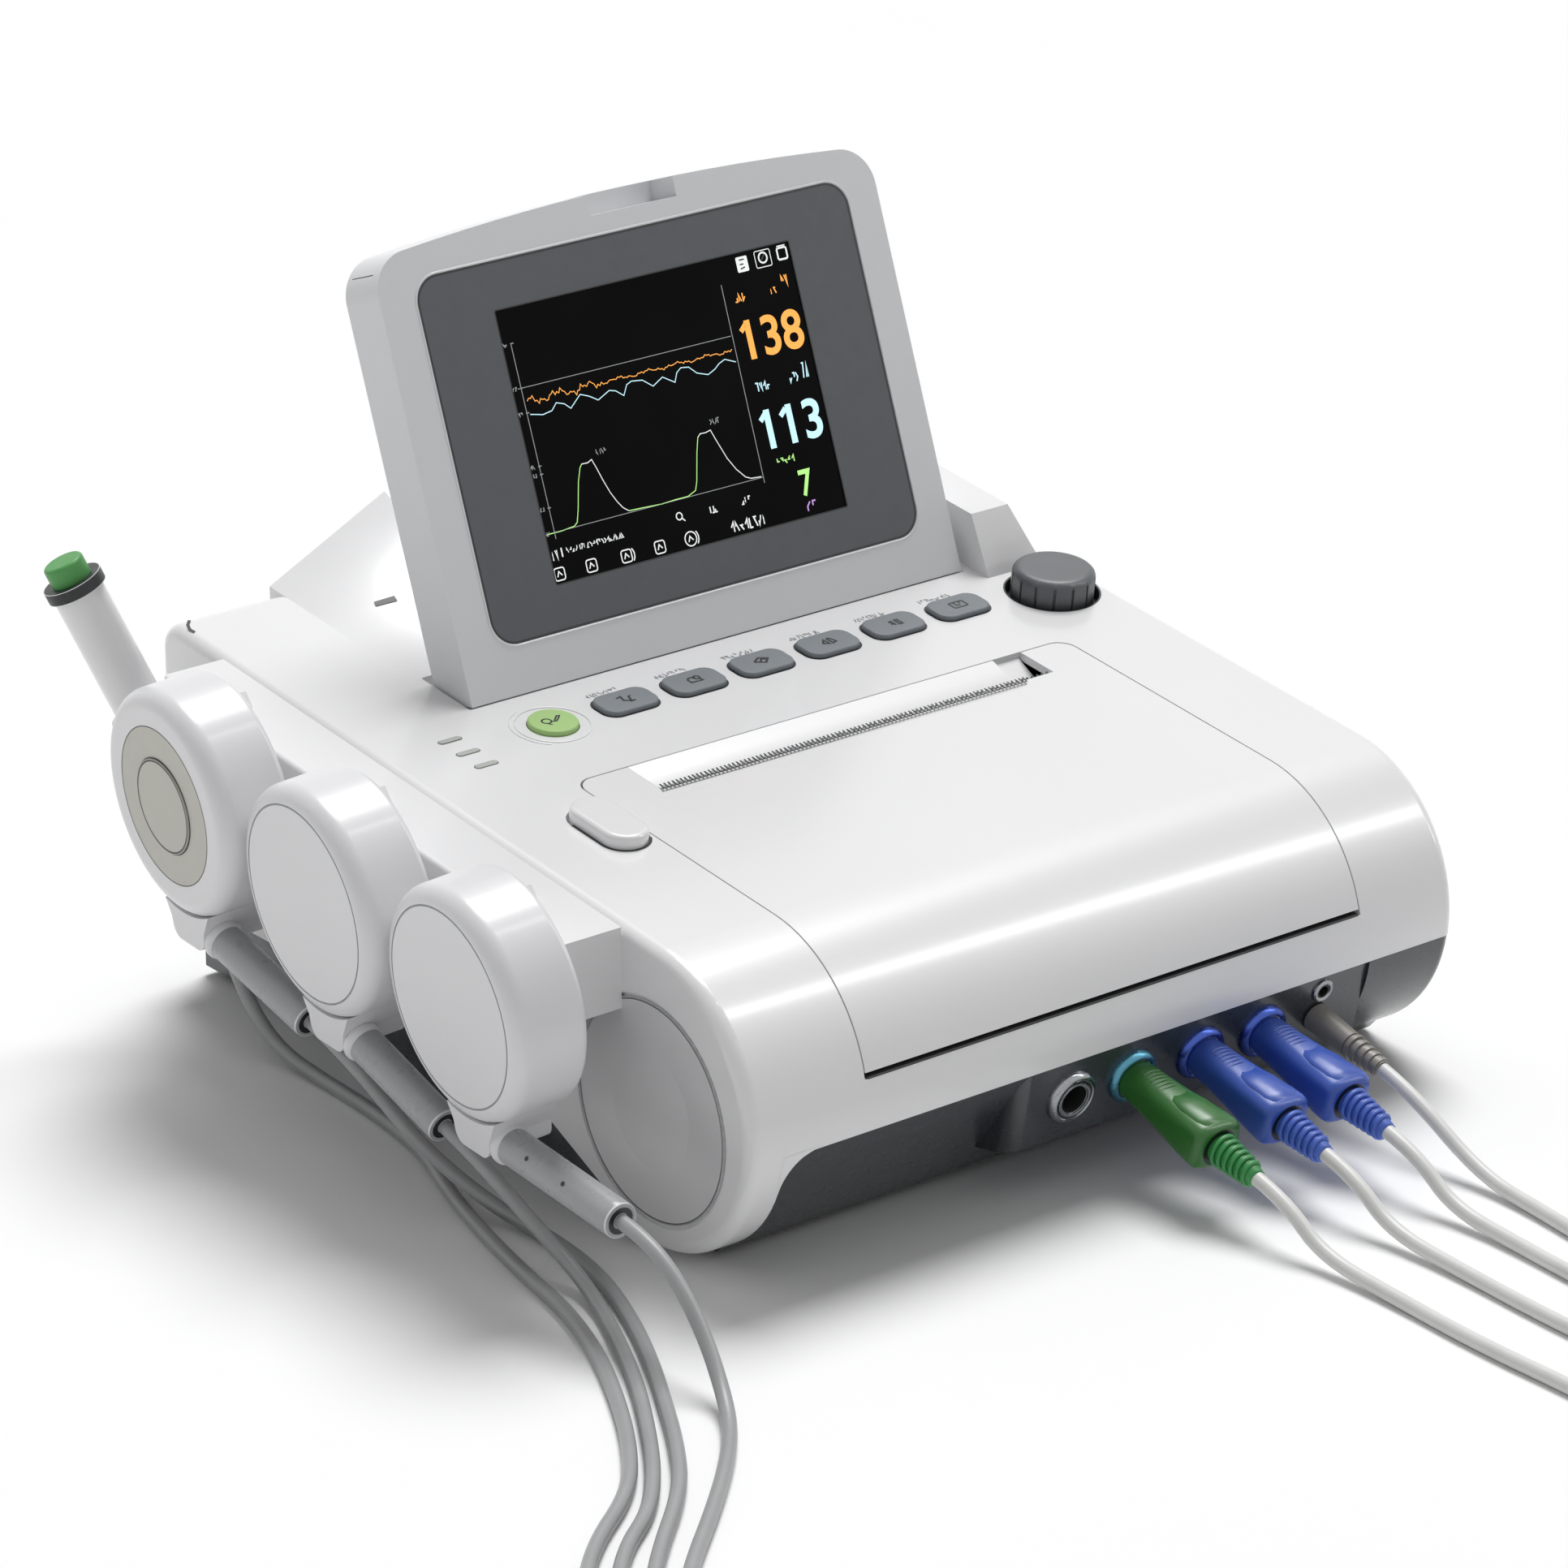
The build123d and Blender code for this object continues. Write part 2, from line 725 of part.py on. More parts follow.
with BuildPart() as paper_door:
    for x in (door_left, door_right - door_cheek):
        with BuildSketch(Plane.YZ.offset(x)):
            with BuildLine():
                add(side_profile(door_wall / 2))
            make_face()
            with Locations((nose_y, nose_z)):
                Circle(nose_radius - door_wall - door_cheek_depth, mode=Mode.SUBTRACT)
            with BuildLine():
                Polyline(
                    (nose_y, 0),
                    (nose_y, deck_z(nose_y) - cheek_low),
                    (body_rear, deck_z(body_rear) - cheek_low),
                    (body_rear, 0),
                    close=True,
                )
            make_face(mode=Mode.SUBTRACT)
            with Locations((nose_y, door_low / 2 - 20)):
                Rectangle(4 * nose_radius, door_low + 40, mode=Mode.SUBTRACT)
            with Locations((platen_y + door_arm_radius + body_rear, nose_z)):
                Rectangle(2 * body_rear, 4 * nose_radius, mode=Mode.SUBTRACT)
            with Locations((door_hinge_y, door_hinge_z)):
                Circle(door_boss_radius)
            with Locations((platen_y, platen_z)):
                Circle(door_arm_radius)
            with Locations((platen_y, platen_z + platen_drop / 2)):
                Rectangle(door_arm_radius * 2, platen_drop - door_wall)
        extrude(amount=door_cheek)
    add(body_solid(0), mode=Mode.INTERSECT)
    add(door_skin())
    with BuildSketch(Plane.XY.offset(seam_z)):
        with Locations((tray_middle_x, (trough_front_y + hump_front_y) / 2)):
            Rectangle(trough_right - trough_left, hump_front_y - trough_front_y)
    extrude(amount=2 * seam_z, mode=Mode.SUBTRACT)
    for x in (door_left - 1, door_right - door_cheek - 1):
        with BuildSketch(Plane.YZ.offset(x)):
            with Locations((door_hinge_y, door_hinge_z)):
                Circle(door_pin_radius + running_gap)
            with Locations((platen_y, platen_z)):
                Circle(platen_shaft_radius + running_gap)
        extrude(amount=door_cheek + 2, mode=Mode.SUBTRACT)
    # room for the platen's gear
    with BuildSketch(Plane.YZ.offset(gear_x - gear_clearance)):
        with Locations((platen_y, platen_z)):
            Circle(gear_module * (gear_teeth / 2 + 1) + gear_clearance)
    extrude(amount=gear_width + 2 * gear_clearance, mode=Mode.SUBTRACT)
finish(paper_door, "paper_door")

with BuildPart() as tear_bar:
    with BuildSketch(Plane.XZ.offset(-trough_front_y)):
        bar_top = deck_z(trough_front_y) + 0.4
        with Locations((tray_middle_x, bar_top - tooth_depth - 2)):
            Rectangle(trough_right - trough_left - 2, 4)
        tooth_count = int((trough_right - trough_left - 2) / tooth_pitch)
        with Locations((tray_middle_x, bar_top - tooth_depth / 2)):
            with GridLocations(tooth_pitch, 0, tooth_count, 1):
                Triangle(a=tooth_pitch, b=tooth_side, c=tooth_side, align=(Align.CENTER, Align.CENTER))
    extrude(amount=-tear_bar_thickness)
finish(tear_bar, "tear_bar")

with BuildPart() as platen_roller:
    with BuildSketch(Plane.YZ.offset(tray_middle_x - platen_length / 2)):
        with Locations((platen_y, platen_z)):
            Circle(platen_radius)
            Circle(platen_shaft_radius, mode=Mode.SUBTRACT)
    extrude(amount=platen_length)
finish(platen_roller, "platen_roller")


def gear_profile(teeth, phase):
    """A spur gear's outline with straight-sided teeth, about the sketch's origin."""
    pitch_radius = gear_module * teeth / 2
    root = pitch_radius - 1.25 * gear_module
    tip = pitch_radius + 0.85 * gear_module
    half_pitch = gear_module * pi / 4 - tooth_backlash
    Circle(root)
    with PolarLocations(0, teeth, start_angle=phase):
        Polygon(
            (root - 0.3, -half_pitch - 0.3),
            (pitch_radius, -half_pitch),
            (tip, -half_pitch * 0.35),
            (tip, half_pitch * 0.35),
            (pitch_radius, half_pitch),
            (root - 0.3, half_pitch + 0.3),
            align=None,
        )


gear_distance = gear_module * (gear_teeth + pinion_teeth) / 2 + 0.1
pinion_y = platen_y + gear_distance * sin(radians(pinion_lean))
pinion_z = platen_z - gear_distance * cos(radians(pinion_lean))
motor_plate_x = door_right + door_gap + 0.6

with BuildPart() as platen_shaft:
    with BuildSketch(Plane.YZ.offset(door_left)):
        with Locations((platen_y, platen_z)):
            Circle(platen_shaft_radius)
    extrude(amount=door_right - door_left)
    with BuildSketch(Plane(origin=(gear_x, platen_y, platen_z), x_dir=(0, 1, 0), z_dir=(1, 0, 0))):
        gear_profile(gear_teeth, pinion_lean - 90)
    extrude(amount=gear_width)
finish(platen_shaft, "platen_shaft")

with BuildPart() as motor_pinion:
    pinion_plane = Plane(origin=(gear_x, pinion_y, pinion_z), x_dir=(0, 1, 0), z_dir=(1, 0, 0))
    with BuildSketch(pinion_plane):
        gear_profile(pinion_teeth, pinion_lean + 90 + 180 / pinion_teeth)
    extrude(amount=gear_width)
    with BuildSketch(pinion_plane):
        Circle(motor_shaft_radius)
    extrude(amount=motor_plate_x + 8 - gear_x)
finish(motor_pinion, "motor_pinion")

with BuildPart() as stepper_motor:
    motor_plane = pinion_plane.offset(motor_plate_x + 2 - gear_x)
    with BuildSketch(motor_plane):
        RectangleRounded(motor_side, motor_side, 4)
    extrude(amount=motor_length)
    with BuildSketch(motor_plane):
        Circle(motor_shaft_radius + running_gap)
    extrude(amount=9, mode=Mode.SUBTRACT)
finish(stepper_motor, "stepper_motor")

with BuildPart() as paper_tray:
    tray_length = tray_rear_y - tray_front_y
    with BuildSketch(Plane.XY.offset(tray_floor_z)):
        with Locations((tray_middle_x, (tray_front_y + tray_rear_y) / 2)):
            Rectangle(tray_width, tray_length)
    extrude(amount=tray_height)
    with BuildSketch(Plane.XY.offset(tray_floor_z + tray_wall)):
        with Locations((tray_middle_x, (tray_front_y + tray_rear_y) / 2)):
            Rectangle(tray_width - 2 * tray_wall, tray_length - 2 * tray_wall)
    extrude(amount=tray_height, mode=Mode.SUBTRACT)
    # floor and wall that carry the motor beside the tray
    with BuildSketch(Plane.XY.offset(tray_floor_z)):
        with Locations(((tray_middle_x + motor_plate_x + 2) / 2, pinion_y)):
            Rectangle(motor_plate_x + 2 - tray_middle_x, motor_side)
        with Locations((tray_middle_x - 1, pinion_y)):
            Rectangle(tray_width - 1, motor_side)
    extrude(amount=tray_wall)
    with BuildSketch(Plane.YZ.offset(motor_plate_x)):
        with Locations((pinion_y, (tray_floor_z + pinion_z + motor_side / 2) / 2)):
            Rectangle(motor_side, pinion_z + motor_side / 2 - tray_floor_z)
        with Locations((pinion_y, pinion_z)):
            Circle(motor_shaft_radius + 2, mode=Mode.SUBTRACT)
    extrude(amount=2)
finish(paper_tray, "paper_tray")

with BuildPart() as paper_pack:
    with BuildSketch(Plane.XY.offset(tray_floor_z + tray_wall)):
        with Locations((tray_middle_x, (tray_front_y + tray_rear_y) / 2)):
            Rectangle(paper_width, paper_length)
    extrude(amount=paper_height)
finish(paper_pack, "paper_pack")

with BuildPart() as print_head:
    head_y = platen_y + platen_radius + 0.3
    with BuildSketch(Plane.YZ.offset(tray_middle_x - paper_width / 2)):
        with BuildLine():
            Polyline(
                (head_y, platen_z + 1.5),
                (head_y, platen_z - 8),
                (head_y + 3, platen_z - 8),
                (head_y + 3, tray_floor_z + tray_height + 2),
                (tray_rear_y - tray_wall, tray_floor_z + tray_height + 2),
                (tray_rear_y - tray_wall, tray_floor_z + tray_height),
                (head_y + 5, tray_floor_z + tray_height),
                (head_y + 5, platen_z + 1.5),
                close=True,
            )
        make_face()
    extrude(amount=paper_width)
finish(print_head, "print_head")

with BuildPart() as hinge_pins:
    for x in hinge_centres:
        with BuildSketch(Plane.YZ.offset(x - hinge_pin_length / 2)):
            with Locations((hinge_y, hinge_z)):
                Circle(hinge_pin_radius)
        extrude(amount=hinge_pin_length)
    for x in (door_left + door_cheek - door_pin_length, door_right - door_cheek):
        with BuildSketch(Plane.YZ.offset(x)):
            with Locations((door_hinge_y, door_hinge_z)):
                Circle(door_pin_radius)
        extrude(amount=door_pin_length)
finish(hinge_pins, "hinge_pins")

with BuildPart() as door_latch:
    with BuildSketch(deck_plane(latch_x, latch_y, -shell_wall - 2)):
        SlotOverall(latch_length, latch_width, rotation=90)
    extrude(amount=shell_wall + 2 + latch_proud)
    fillet(door_latch.faces().sort_by(Axis.Z)[-1].edges(), 1.5)
    with BuildSketch(deck_plane(latch_x, latch_y, -shell_wall - 2)):
        SlotOverall(latch_length + 4, latch_width + 2, rotation=90)
    extrude(amount=1.6)
finish(door_latch, "door_latch")

# ---------------------------------------------------------------- display
def display_outline():
    """The housing's outline above the hinge line, with its crowned top, as a sketch."""
    with BuildSketch(mode=Mode.PRIVATE) as outline:
        with BuildLine():
            Polyline(
                (display_left, display_height),
                (display_left, hinge_up),
                (display_right, hinge_up),
                (display_right, display_height),
            )
            ThreePointArc(
                (display_right, display_height),
                (display_middle, display_height + display_crown),
                (display_left, display_height),
            )
        make_face()
        fillet(outline.vertices().group_by(Axis.Y)[-1], display_corner)
    return outline.sketch


notch_middle = (notch_left + notch_width / 2, display_height + display_crown - notch_depth / 2 + 2)
cavity_size = (display_width - 2 * display_wall, display_height - hinge_up - 10)
cavity_middle = (display_middle, (display_height + hinge_up) / 2 + 1)
bezel_middle = (bezel_left + bezel_width / 2, bezel_bottom + bezel_height / 2)
screen_middle = (screen_left + screen_width / 2, screen_bottom + screen_height / 2)
display_posts = [
    (screen_middle[0] + i * (screen_width / 2 - 2), screen_middle[1] + j * (screen_height / 2 - 2))
    for i in (-1, 1)
    for j in (-1, 1)
]

with BuildPart() as display_front:
    with BuildSketch(display_plane.offset(-display_front_depth)):
        add(display_outline())
    extrude(amount=display_front_depth)
    with BuildSketch(display_side):
        with BuildLine():
            Polyline((face_at, 0), (face_at, toe_up), seam_foot, (seam_at, 0), close=True)
        make_face()
    extrude(amount=display_width)
    with BuildSketch(display_plane):
        with Locations(notch_middle):
            Rectangle(notch_width, notch_depth + 4)
    extrude(amount=-display_front_depth, mode=Mode.SUBTRACT)
    with BuildSketch(display_plane):
        with Locations(bezel_middle):
            RectangleRounded(bezel_width + 0.6, bezel_height + 0.6, bezel_corner)
    extrude(amount=-bezel_thickness, mode=Mode.SUBTRACT)
    with BuildSketch(display_plane):
        with Locations(screen_middle):
            Rectangle(screen_width + 0.6, screen_height + 0.6)
    extrude(amount=-display_front_depth, mode=Mode.SUBTRACT)
    with BuildSketch(display_plane.offset(-display_front_depth)):
        with Locations(cavity_middle):
            Rectangle(*cavity_size)
    extrude(amount=display_front_depth - bezel_thickness - display_wall, mode=Mode.SUBTRACT)
finish(display_front, "display_front")

with BuildPart() as display_rear:
    with BuildSketch(display_plane.offset(-display_front_depth - display_rear_depth)):
        add(display_outline())
    extrude(amount=display_rear_depth)
    with BuildSketch(display_side):
        with BuildLine():
            Polyline(barrel_end, (back_at, 0), (seam_at, 0), seam_foot, barrel_start)
            mid = (barrel_angle + atan2(barrel_end[1], barrel_end[0])) / 2
            ThreePointArc(
                barrel_start,
                (barrel_radius * cos(mid), barrel_radius * sin(mid)),
                barrel_end,
            )
        make_face()
    extrude(amount=display_width)
    with BuildSketch(display_plane.offset(-display_front_depth)):
        with Locations(cavity_middle):
            Rectangle(*cavity_size)
    extrude(amount=display_wall - display_rear_depth, mode=Mode.SUBTRACT)
    with BuildSketch(display_plane.offset(-display_front_depth)):
        with Locations(notch_middle):
            Rectangle(notch_width, notch_depth + 4)
    extrude(amount=-display_rear_depth / 2, mode=Mode.SUBTRACT)
    # posts for the circuit board, cooling slots, knuckle pockets and pin bores
    with BuildSketch(display_plane.offset(-display_front_depth - display_rear_depth + display_wall)):
        with Locations(*display_posts):
            Circle(3)
    extrude(amount=display_rear_depth - display_wall - display_board_depth - board_thickness)
    with BuildSketch(display_plane.offset(-display_front_depth - display_rear_depth)):
        with Locations(cavity_middle):
            with GridLocations(0, 6, 1, 8):
                SlotOverall(60, 2.4)
    extrude(amount=display_wall, mode=Mode.SUBTRACT)
    for x in hinge_centres:
        with BuildSketch(Plane.YZ.offset(x - knuckle_width / 2 - knuckle_gap)):
            with Locations((hinge_y, hinge_z)):
                Circle(knuckle_radius + knuckle_gap)
            with Locations((hinge_y + 4, hinge_z - 6)):
                Rectangle(16, 12)
        extrude(amount=knuckle_width + 2 * knuckle_gap, mode=Mode.SUBTRACT)
        with BuildSketch(Plane.YZ.offset(x - hinge_pin_length / 2 - 0.3)):
            with Locations((hinge_y, hinge_z)):
                Circle(hinge_pin_radius + running_gap)
        extrude(amount=hinge_pin_length + 0.6, mode=Mode.SUBTRACT)
finish(display_rear, "display_rear")

with BuildPart() as display_bezel:
    with BuildSketch(display_plane.offset(-bezel_thickness)):
        with Locations(bezel_middle):
            RectangleRounded(bezel_width, bezel_height, bezel_corner)
        with Locations(screen_middle):
            Rectangle(screen_width, screen_height, mode=Mode.SUBTRACT)
    extrude(amount=bezel_thickness)
finish(display_bezel, "display_bezel")

with BuildPart() as display_screen:
    screen_back = bezel_thickness + display_wall
    with BuildSketch(display_plane.offset(-screen_back)):
        with Locations(screen_middle):
            Rectangle(screen_width - 0.2, screen_height - 0.2)
    extrude(amount=screen_back - screen_sink)
    with BuildSketch(display_plane.offset(-screen_back)):
        with Locations(screen_middle):
            Rectangle(screen_width + 8, screen_height + 6)
    extrude(amount=screen_back - display_front_depth)
finish(display_screen, "display_screen")

with BuildPart() as display_board:
    with BuildSketch(display_plane.offset(-display_front_depth - display_board_depth)):
        with Locations(screen_middle):
            Rectangle(screen_width + 8, screen_height + 6)
    extrude(amount=-board_thickness)
    with BuildSketch(display_plane.offset(-display_front_depth - display_board_depth)):
        with Locations(screen_middle):
            with GridLocations(38, 30, 3, 2):
                Rectangle(16, 14)
    extrude(amount=1.2)
finish(display_board, "display_board")

# ---------------------------------------------------------------- keys and knob
key_labels = [f"key_{i + 1}" for i in range(key_count)]
for place, label in zip(key_places, key_labels):
    with BuildPart() as key:
        with BuildSketch(place.offset(-shell_wall - 0.3 - key_flange)):
            RectangleRounded(key_width, key_depth, key_corner)
        extrude(amount=shell_wall + 0.3 + key_flange + key_proud)
        fillet(key.faces().sort_by(Axis.Z)[-1].edges(), 0.7)
        with BuildSketch(place.offset(-shell_wall - 0.3 - key_flange)):
            RectangleRounded(key_width + 2, key_depth + 2, key_corner)
        extrude(amount=key_flange)
        with BuildSketch(place.offset(-key_board_drop + key_travel + 0.3)):
            Circle(2)
        extrude(amount=key_board_drop - key_travel - shell_wall - 1)
    finish(key, label)

with BuildPart() as start_key:
    start_place = deck_plane(start_x, start_y, -shell_wall - 0.3 - key_flange)
    with BuildSketch(start_place):
        Circle(start_radius)
    extrude(amount=shell_wall + 0.3 + key_flange + key_proud)
    fillet(start_key.faces().sort_by(Axis.Z)[-1].edges(), 0.7)
    with BuildSketch(start_place):
        Circle(start_radius + 1)
    extrude(amount=key_flange)
    with BuildSketch(deck_plane(start_x, start_y, -key_board_drop + key_travel + 0.3)):
        Circle(2)
    extrude(amount=key_board_drop - key_travel - shell_wall - 1)
finish(start_key, "start_key")

with BuildPart() as key_board:
    key_board_plane = deck_plane(0, key_y, -key_board_drop)
    with BuildSketch(key_board_plane):
        with Locations(((start_x + knob_x) / 2, 0)):
            Rectangle(knob_x - start_x + key_board_width, key_board_width)
    extrude(amount=-board_thickness)
    with BuildSketch(deck_plane(knob_x, knob_y, -key_board_drop)):
        RectangleRounded(12, 12, 1)
    extrude(amount=2.5)
    with BuildSketch(deck_plane(knob_x, knob_y, -key_board_drop - board_thickness)):
        Circle(knob_shaft_radius + running_gap)
    extrude(amount=5, mode=Mode.SUBTRACT)
finish(key_board, "key_board")

with BuildPart() as knob_shaft:
    with BuildSketch(deck_plane(knob_x, knob_y, -key_board_drop)):
        Circle(knob_shaft_radius)
    extrude(amount=key_board_drop + knob_height - 3)
finish(knob_shaft, "knob_shaft")

with BuildPart() as knob:
    knob_foot = deck_plane(knob_x, knob_y, -4.5 + knob_travel + 0.3)
    with BuildSketch(knob_foot):
        Circle(knob_radius)
    extrude(amount=4.5 - knob_travel - 0.3 + knob_height)
    fillet(knob.faces().sort_by(Axis.Z)[-1].edges(), 1.6)
    with BuildSketch(knob_foot):
        with PolarLocations(knob_radius + knob_flute_radius * 0.55, knob_flutes):
            Circle(knob_flute_radius)
    extrude(amount=4.5 + knob_height - 2.4, mode=Mode.SUBTRACT)
    with BuildSketch(knob_foot):
        Circle(knob_radius - 3.5)
        Circle(knob_shaft_radius + 2.2, mode=Mode.SUBTRACT)
    extrude(amount=knob_height - 1, mode=Mode.SUBTRACT)
    with BuildSketch(knob_foot):
        Circle(knob_shaft_radius + running_gap)
    extrude(amount=4.5 - knob_travel - 0.3 + knob_height - 2.7, mode=Mode.SUBTRACT)
finish(knob, "knob")

with BuildPart() as indicator_lights:
    for y in light_rows:
        with BuildSketch(deck_plane(light_x, y, -shell_wall)):
            SlotOverall(light_width - 0.1, light_depth - 0.1)
        extrude(amount=shell_wall + 0.2)
    with BuildSketch(deck_plane(light_x, light_rows[1], -shell_wall)):
        Rectangle(light_width + 2, light_rows[0] - light_rows[2] + 6)
    extrude(amount=-1.5)
finish(indicator_lights, "indicator_lights")

# ---------------------------------------------------------------- inside the base
with BuildPart() as main_board:
    board_middle = ((board_left + board_right) / 2, (board_front + board_rear) / 2)
    with BuildSketch(Plane.XY.offset(board_z)):
        with Locations(board_middle):
            Rectangle(board_right - board_left, board_rear - board_front)
    extrude(amount=board_thickness)
    with BuildSketch(Plane.XY.offset(board_z + board_thickness)):
        with Locations(board_middle):
            with GridLocations(44, 46, 3, 3):
                Rectangle(22, 22)
    extrude(amount=3)
finish(main_board, "main_board")

with BuildPart() as battery_pack:
    with BuildSketch(Plane.XY.offset(floor_top)):
        with Locations((supply_x, 22)):
            RectangleRounded(supply_width, 76, 3)
    extrude(amount=22)
finish(battery_pack, "battery_pack")

with BuildPart() as power_supply:
    with BuildSketch(Plane.XY.offset(floor_top)):
        with Locations((supply_x, 88)):
            Rectangle(supply_width, 48)
    extrude(amount=2)
    with BuildSketch(Plane.XY.offset(floor_top + 2)):
        with Locations((supply_x - 18, 88), (supply_x + 18, 82)):
            Rectangle(24, 34)
    extrude(amount=26)
finish(power_supply, "power_supply")

with BuildPart() as speaker:
    with BuildSketch(Plane.XY.offset(floor_top)):
        with Locations((speaker_x, speaker_y)):
            Circle(speaker_radius)
    extrude(amount=4)
    with BuildSketch(Plane.XY.offset(floor_top + 4)):
        with Locations((speaker_x, speaker_y)):
            Circle(speaker_radius * 0.6)
    extrude(amount=9)
finish(speaker, "speaker")

with BuildPart() as ac_inlet:
    with BuildSketch(Plane.XZ.offset(-body_rear)):
        with Locations((inlet_x, inlet_z)):
            Rectangle(inlet_width - 0.1, inlet_height - 0.1)
    extrude(amount=18)
    with BuildSketch(Plane.XZ.offset(-body_rear)):
        with Locations((inlet_x, inlet_z)):
            Rectangle(inlet_width + 6, inlet_height + 4)
    extrude(amount=-1.5)
    with BuildSketch(Plane.XZ.offset(-body_rear - 1.5)):
        with Locations((inlet_x, inlet_z)):
            RectangleRounded(inlet_width - 5, inlet_height - 5, 2)
    extrude(amount=16, mode=Mode.SUBTRACT)
    with BuildSketch(Plane.XZ.offset(-body_rear + 14.5)):
        with Locations((inlet_x - 6, inlet_z), (inlet_x, inlet_z + 2), (inlet_x + 6, inlet_z)):
            Rectangle(1.6, 4)
    extrude(amount=-11)
finish(ac_inlet, "ac_inlet")

# ---------------------------------------------------------------- rack and transducers
lean = radians(transducer_lean)
yaw = radians(transducer_yaw)
transducer_axis = (-cos(lean) * cos(yaw), cos(lean) * sin(yaw), -sin(lean))
transducer_places = [
    Plane(
        origin=(rack_left - transducer_gap, y, deck_z(y) - transducer_drop),
        x_dir=(-sin(yaw), -cos(yaw), 0),
        z_dir=transducer_axis,
    )
    for y in transducer_y
]
marker_plane = Plane(origin=marker_base, x_dir=(0, 1, 0), z_dir=marker_axis)

with BuildPart() as transducer_rack:
    with BuildSketch(Plane.XZ.offset(-rack_rear_y)):
        with Locations((rack_middle_x, deck_z(rack_rear_y) - rack_depth / 2)):
            Rectangle(body_left - rack_left, rack_depth)
    extrude(dir=(0, -cos(slope), -sin(slope)), amount=(rack_rear_y - rack_front_y) / cos(slope))
    outer_edges = transducer_rack.edges().filter_by_position(Axis.X, rack_left - 0.1, rack_left + 0.1)
    fillet(outer_edges, 1.5)
    for y in transducer_y:
        with BuildSketch(Plane.YZ.offset(rack_middle_x - catch_thickness)):
            with Locations((y + catch_offset, deck_z(y + catch_offset))):
                Triangle(a=catch_side, b=0.7 * catch_side, c=0.7 * catch_side, rotation=deck_slope)
        extrude(amount=catch_thickness)
    with BuildSketch(Plane.XY.offset(holder_low)):
        with Locations((rack_middle_x, holder_y)):
            Rectangle(body_left - rack_left, holder_block)
    extrude(amount=holder_length)
    with BuildSketch(marker_plane.offset(holder_start)):
        Circle(marker_radius + stud_clearance + holder_wall)
    extrude(amount=holder_length)
    with BuildSketch(marker_plane.offset(-20)):
        Circle(marker_radius + stud_clearance)
    extrude(amount=80, mode=Mode.SUBTRACT)
    for place in transducer_places:
        with BuildSketch(place.offset(-stud_length - 0.5)):
            Circle(stud_radius + stud_clearance)
        extrude(amount=stud_length + 6, mode=Mode.SUBTRACT)
finish(transducer_rack, "transducer_rack")

front_labels = ("toco_front", "ultrasound_front_1", "ultrasound_front_2")
rear_labels = ("toco_rear", "ultrasound_rear_1", "ultrasound_rear_2")
transducer_depth = transducer_back_depth + transducer_front_depth
tab_middle = relief_forward - 4
relief_ends = []

for place, label in zip(transducer_places, front_labels):
    with BuildPart() as front_shell:
        with BuildSketch(place.offset(transducer_back_depth)):
            Circle(transducer_radius)
        extrude(amount=transducer_front_depth)
        fillet(front_shell.edges().sort_by(Axis.X)[0], transducer_edge)
        with BuildSketch(place.offset(transducer_back_depth)):
            Circle(transducer_radius - transducer_wall)
        extrude(amount=transducer_front_depth - transducer_wall - 4, mode=Mode.SUBTRACT)
        if label == front_labels[0]:
            with BuildSketch(place.offset(transducer_back_depth)):
                Circle(ring_inner + button_gap)
            extrude(amount=transducer_front_depth, mode=Mode.SUBTRACT)
            with BuildSketch(place.offset(transducer_depth - 0.4)):
                Circle(ring_outer)
            extrude(amount=1, mode=Mode.SUBTRACT)
            with BuildSketch(place.offset(transducer_depth - 0.4)):
                Circle(ring_outer - 0.2)
                Circle(ring_inner + button_gap, mode=Mode.SUBTRACT)
            extrude(amount=0.3)
        else:
            with BuildSketch(place.offset(transducer_depth)):
                Circle(groove_radius)
                Circle(groove_radius - 0.6, mode=Mode.SUBTRACT)
            extrude(amount=-0.5, mode=Mode.SUBTRACT)
    finish(front_shell, label)

for place, label, length, fall in zip(transducer_places, rear_labels, relief_lengths, relief_falls):
    relief_start = place.from_local_coords((relief_forward, -relief_drop, relief_out))
    relief_dir = Vector(0, -cos(radians(fall)), -sin(radians(fall)))
    relief_plane = Plane(origin=relief_start, x_dir=(1, 0, 0), z_dir=relief_dir)
    with BuildPart() as rear_shell:
        with BuildSketch(place):
            Circle(transducer_radius)
        extrude(amount=transducer_back_depth)
        fillet(rear_shell.edges().sort_by(Axis.X)[-1], 2)
        with BuildSketch(place):
            Circle(stud_radius)
        extrude(amount=-stud_length)
        with BuildSketch(place.offset(1)):
            with BuildLine():
                Polyline(
                    (tab_middle - tab_root_width / 2, -tab_root_drop),
                    (tab_middle - tab_width / 2 - 1, -relief_drop + 2),
                    (tab_middle - tab_width / 2, -tab_low),
                    (tab_middle + tab_width / 2, -tab_low),
                    (tab_middle + tab_width / 2 + 1, -relief_drop + 2),
                    (tab_middle + tab_root_width / 2, -tab_root_drop),
                    close=True,
                )
            make_face()
            fillet(vertices().group_by(Axis.Y)[0], tab_width / 4)
        extrude(amount=tab_depth)
        with BuildSketch(place.offset(transducer_back_depth)):
            Circle(transducer_radius + stud_clearance)
        extrude(amount=tab_depth, mode=Mode.SUBTRACT)
        with BuildSketch(relief_plane):
            Circle(relief_radius)
        extrude(amount=length)
    finish(rear_shell, label)
    relief_ends.append(relief_start + relief_dir * length)

with BuildPart() as toco_button:
    toco_place = transducer_places[0]
    with BuildSketch(toco_place.offset(transducer_back_depth + button_travel + 0.3)):
        Circle(ring_inner)
    extrude(amount=transducer_front_depth - button_travel - 0.3 + 0.6)
finish(toco_button, "toco_button")

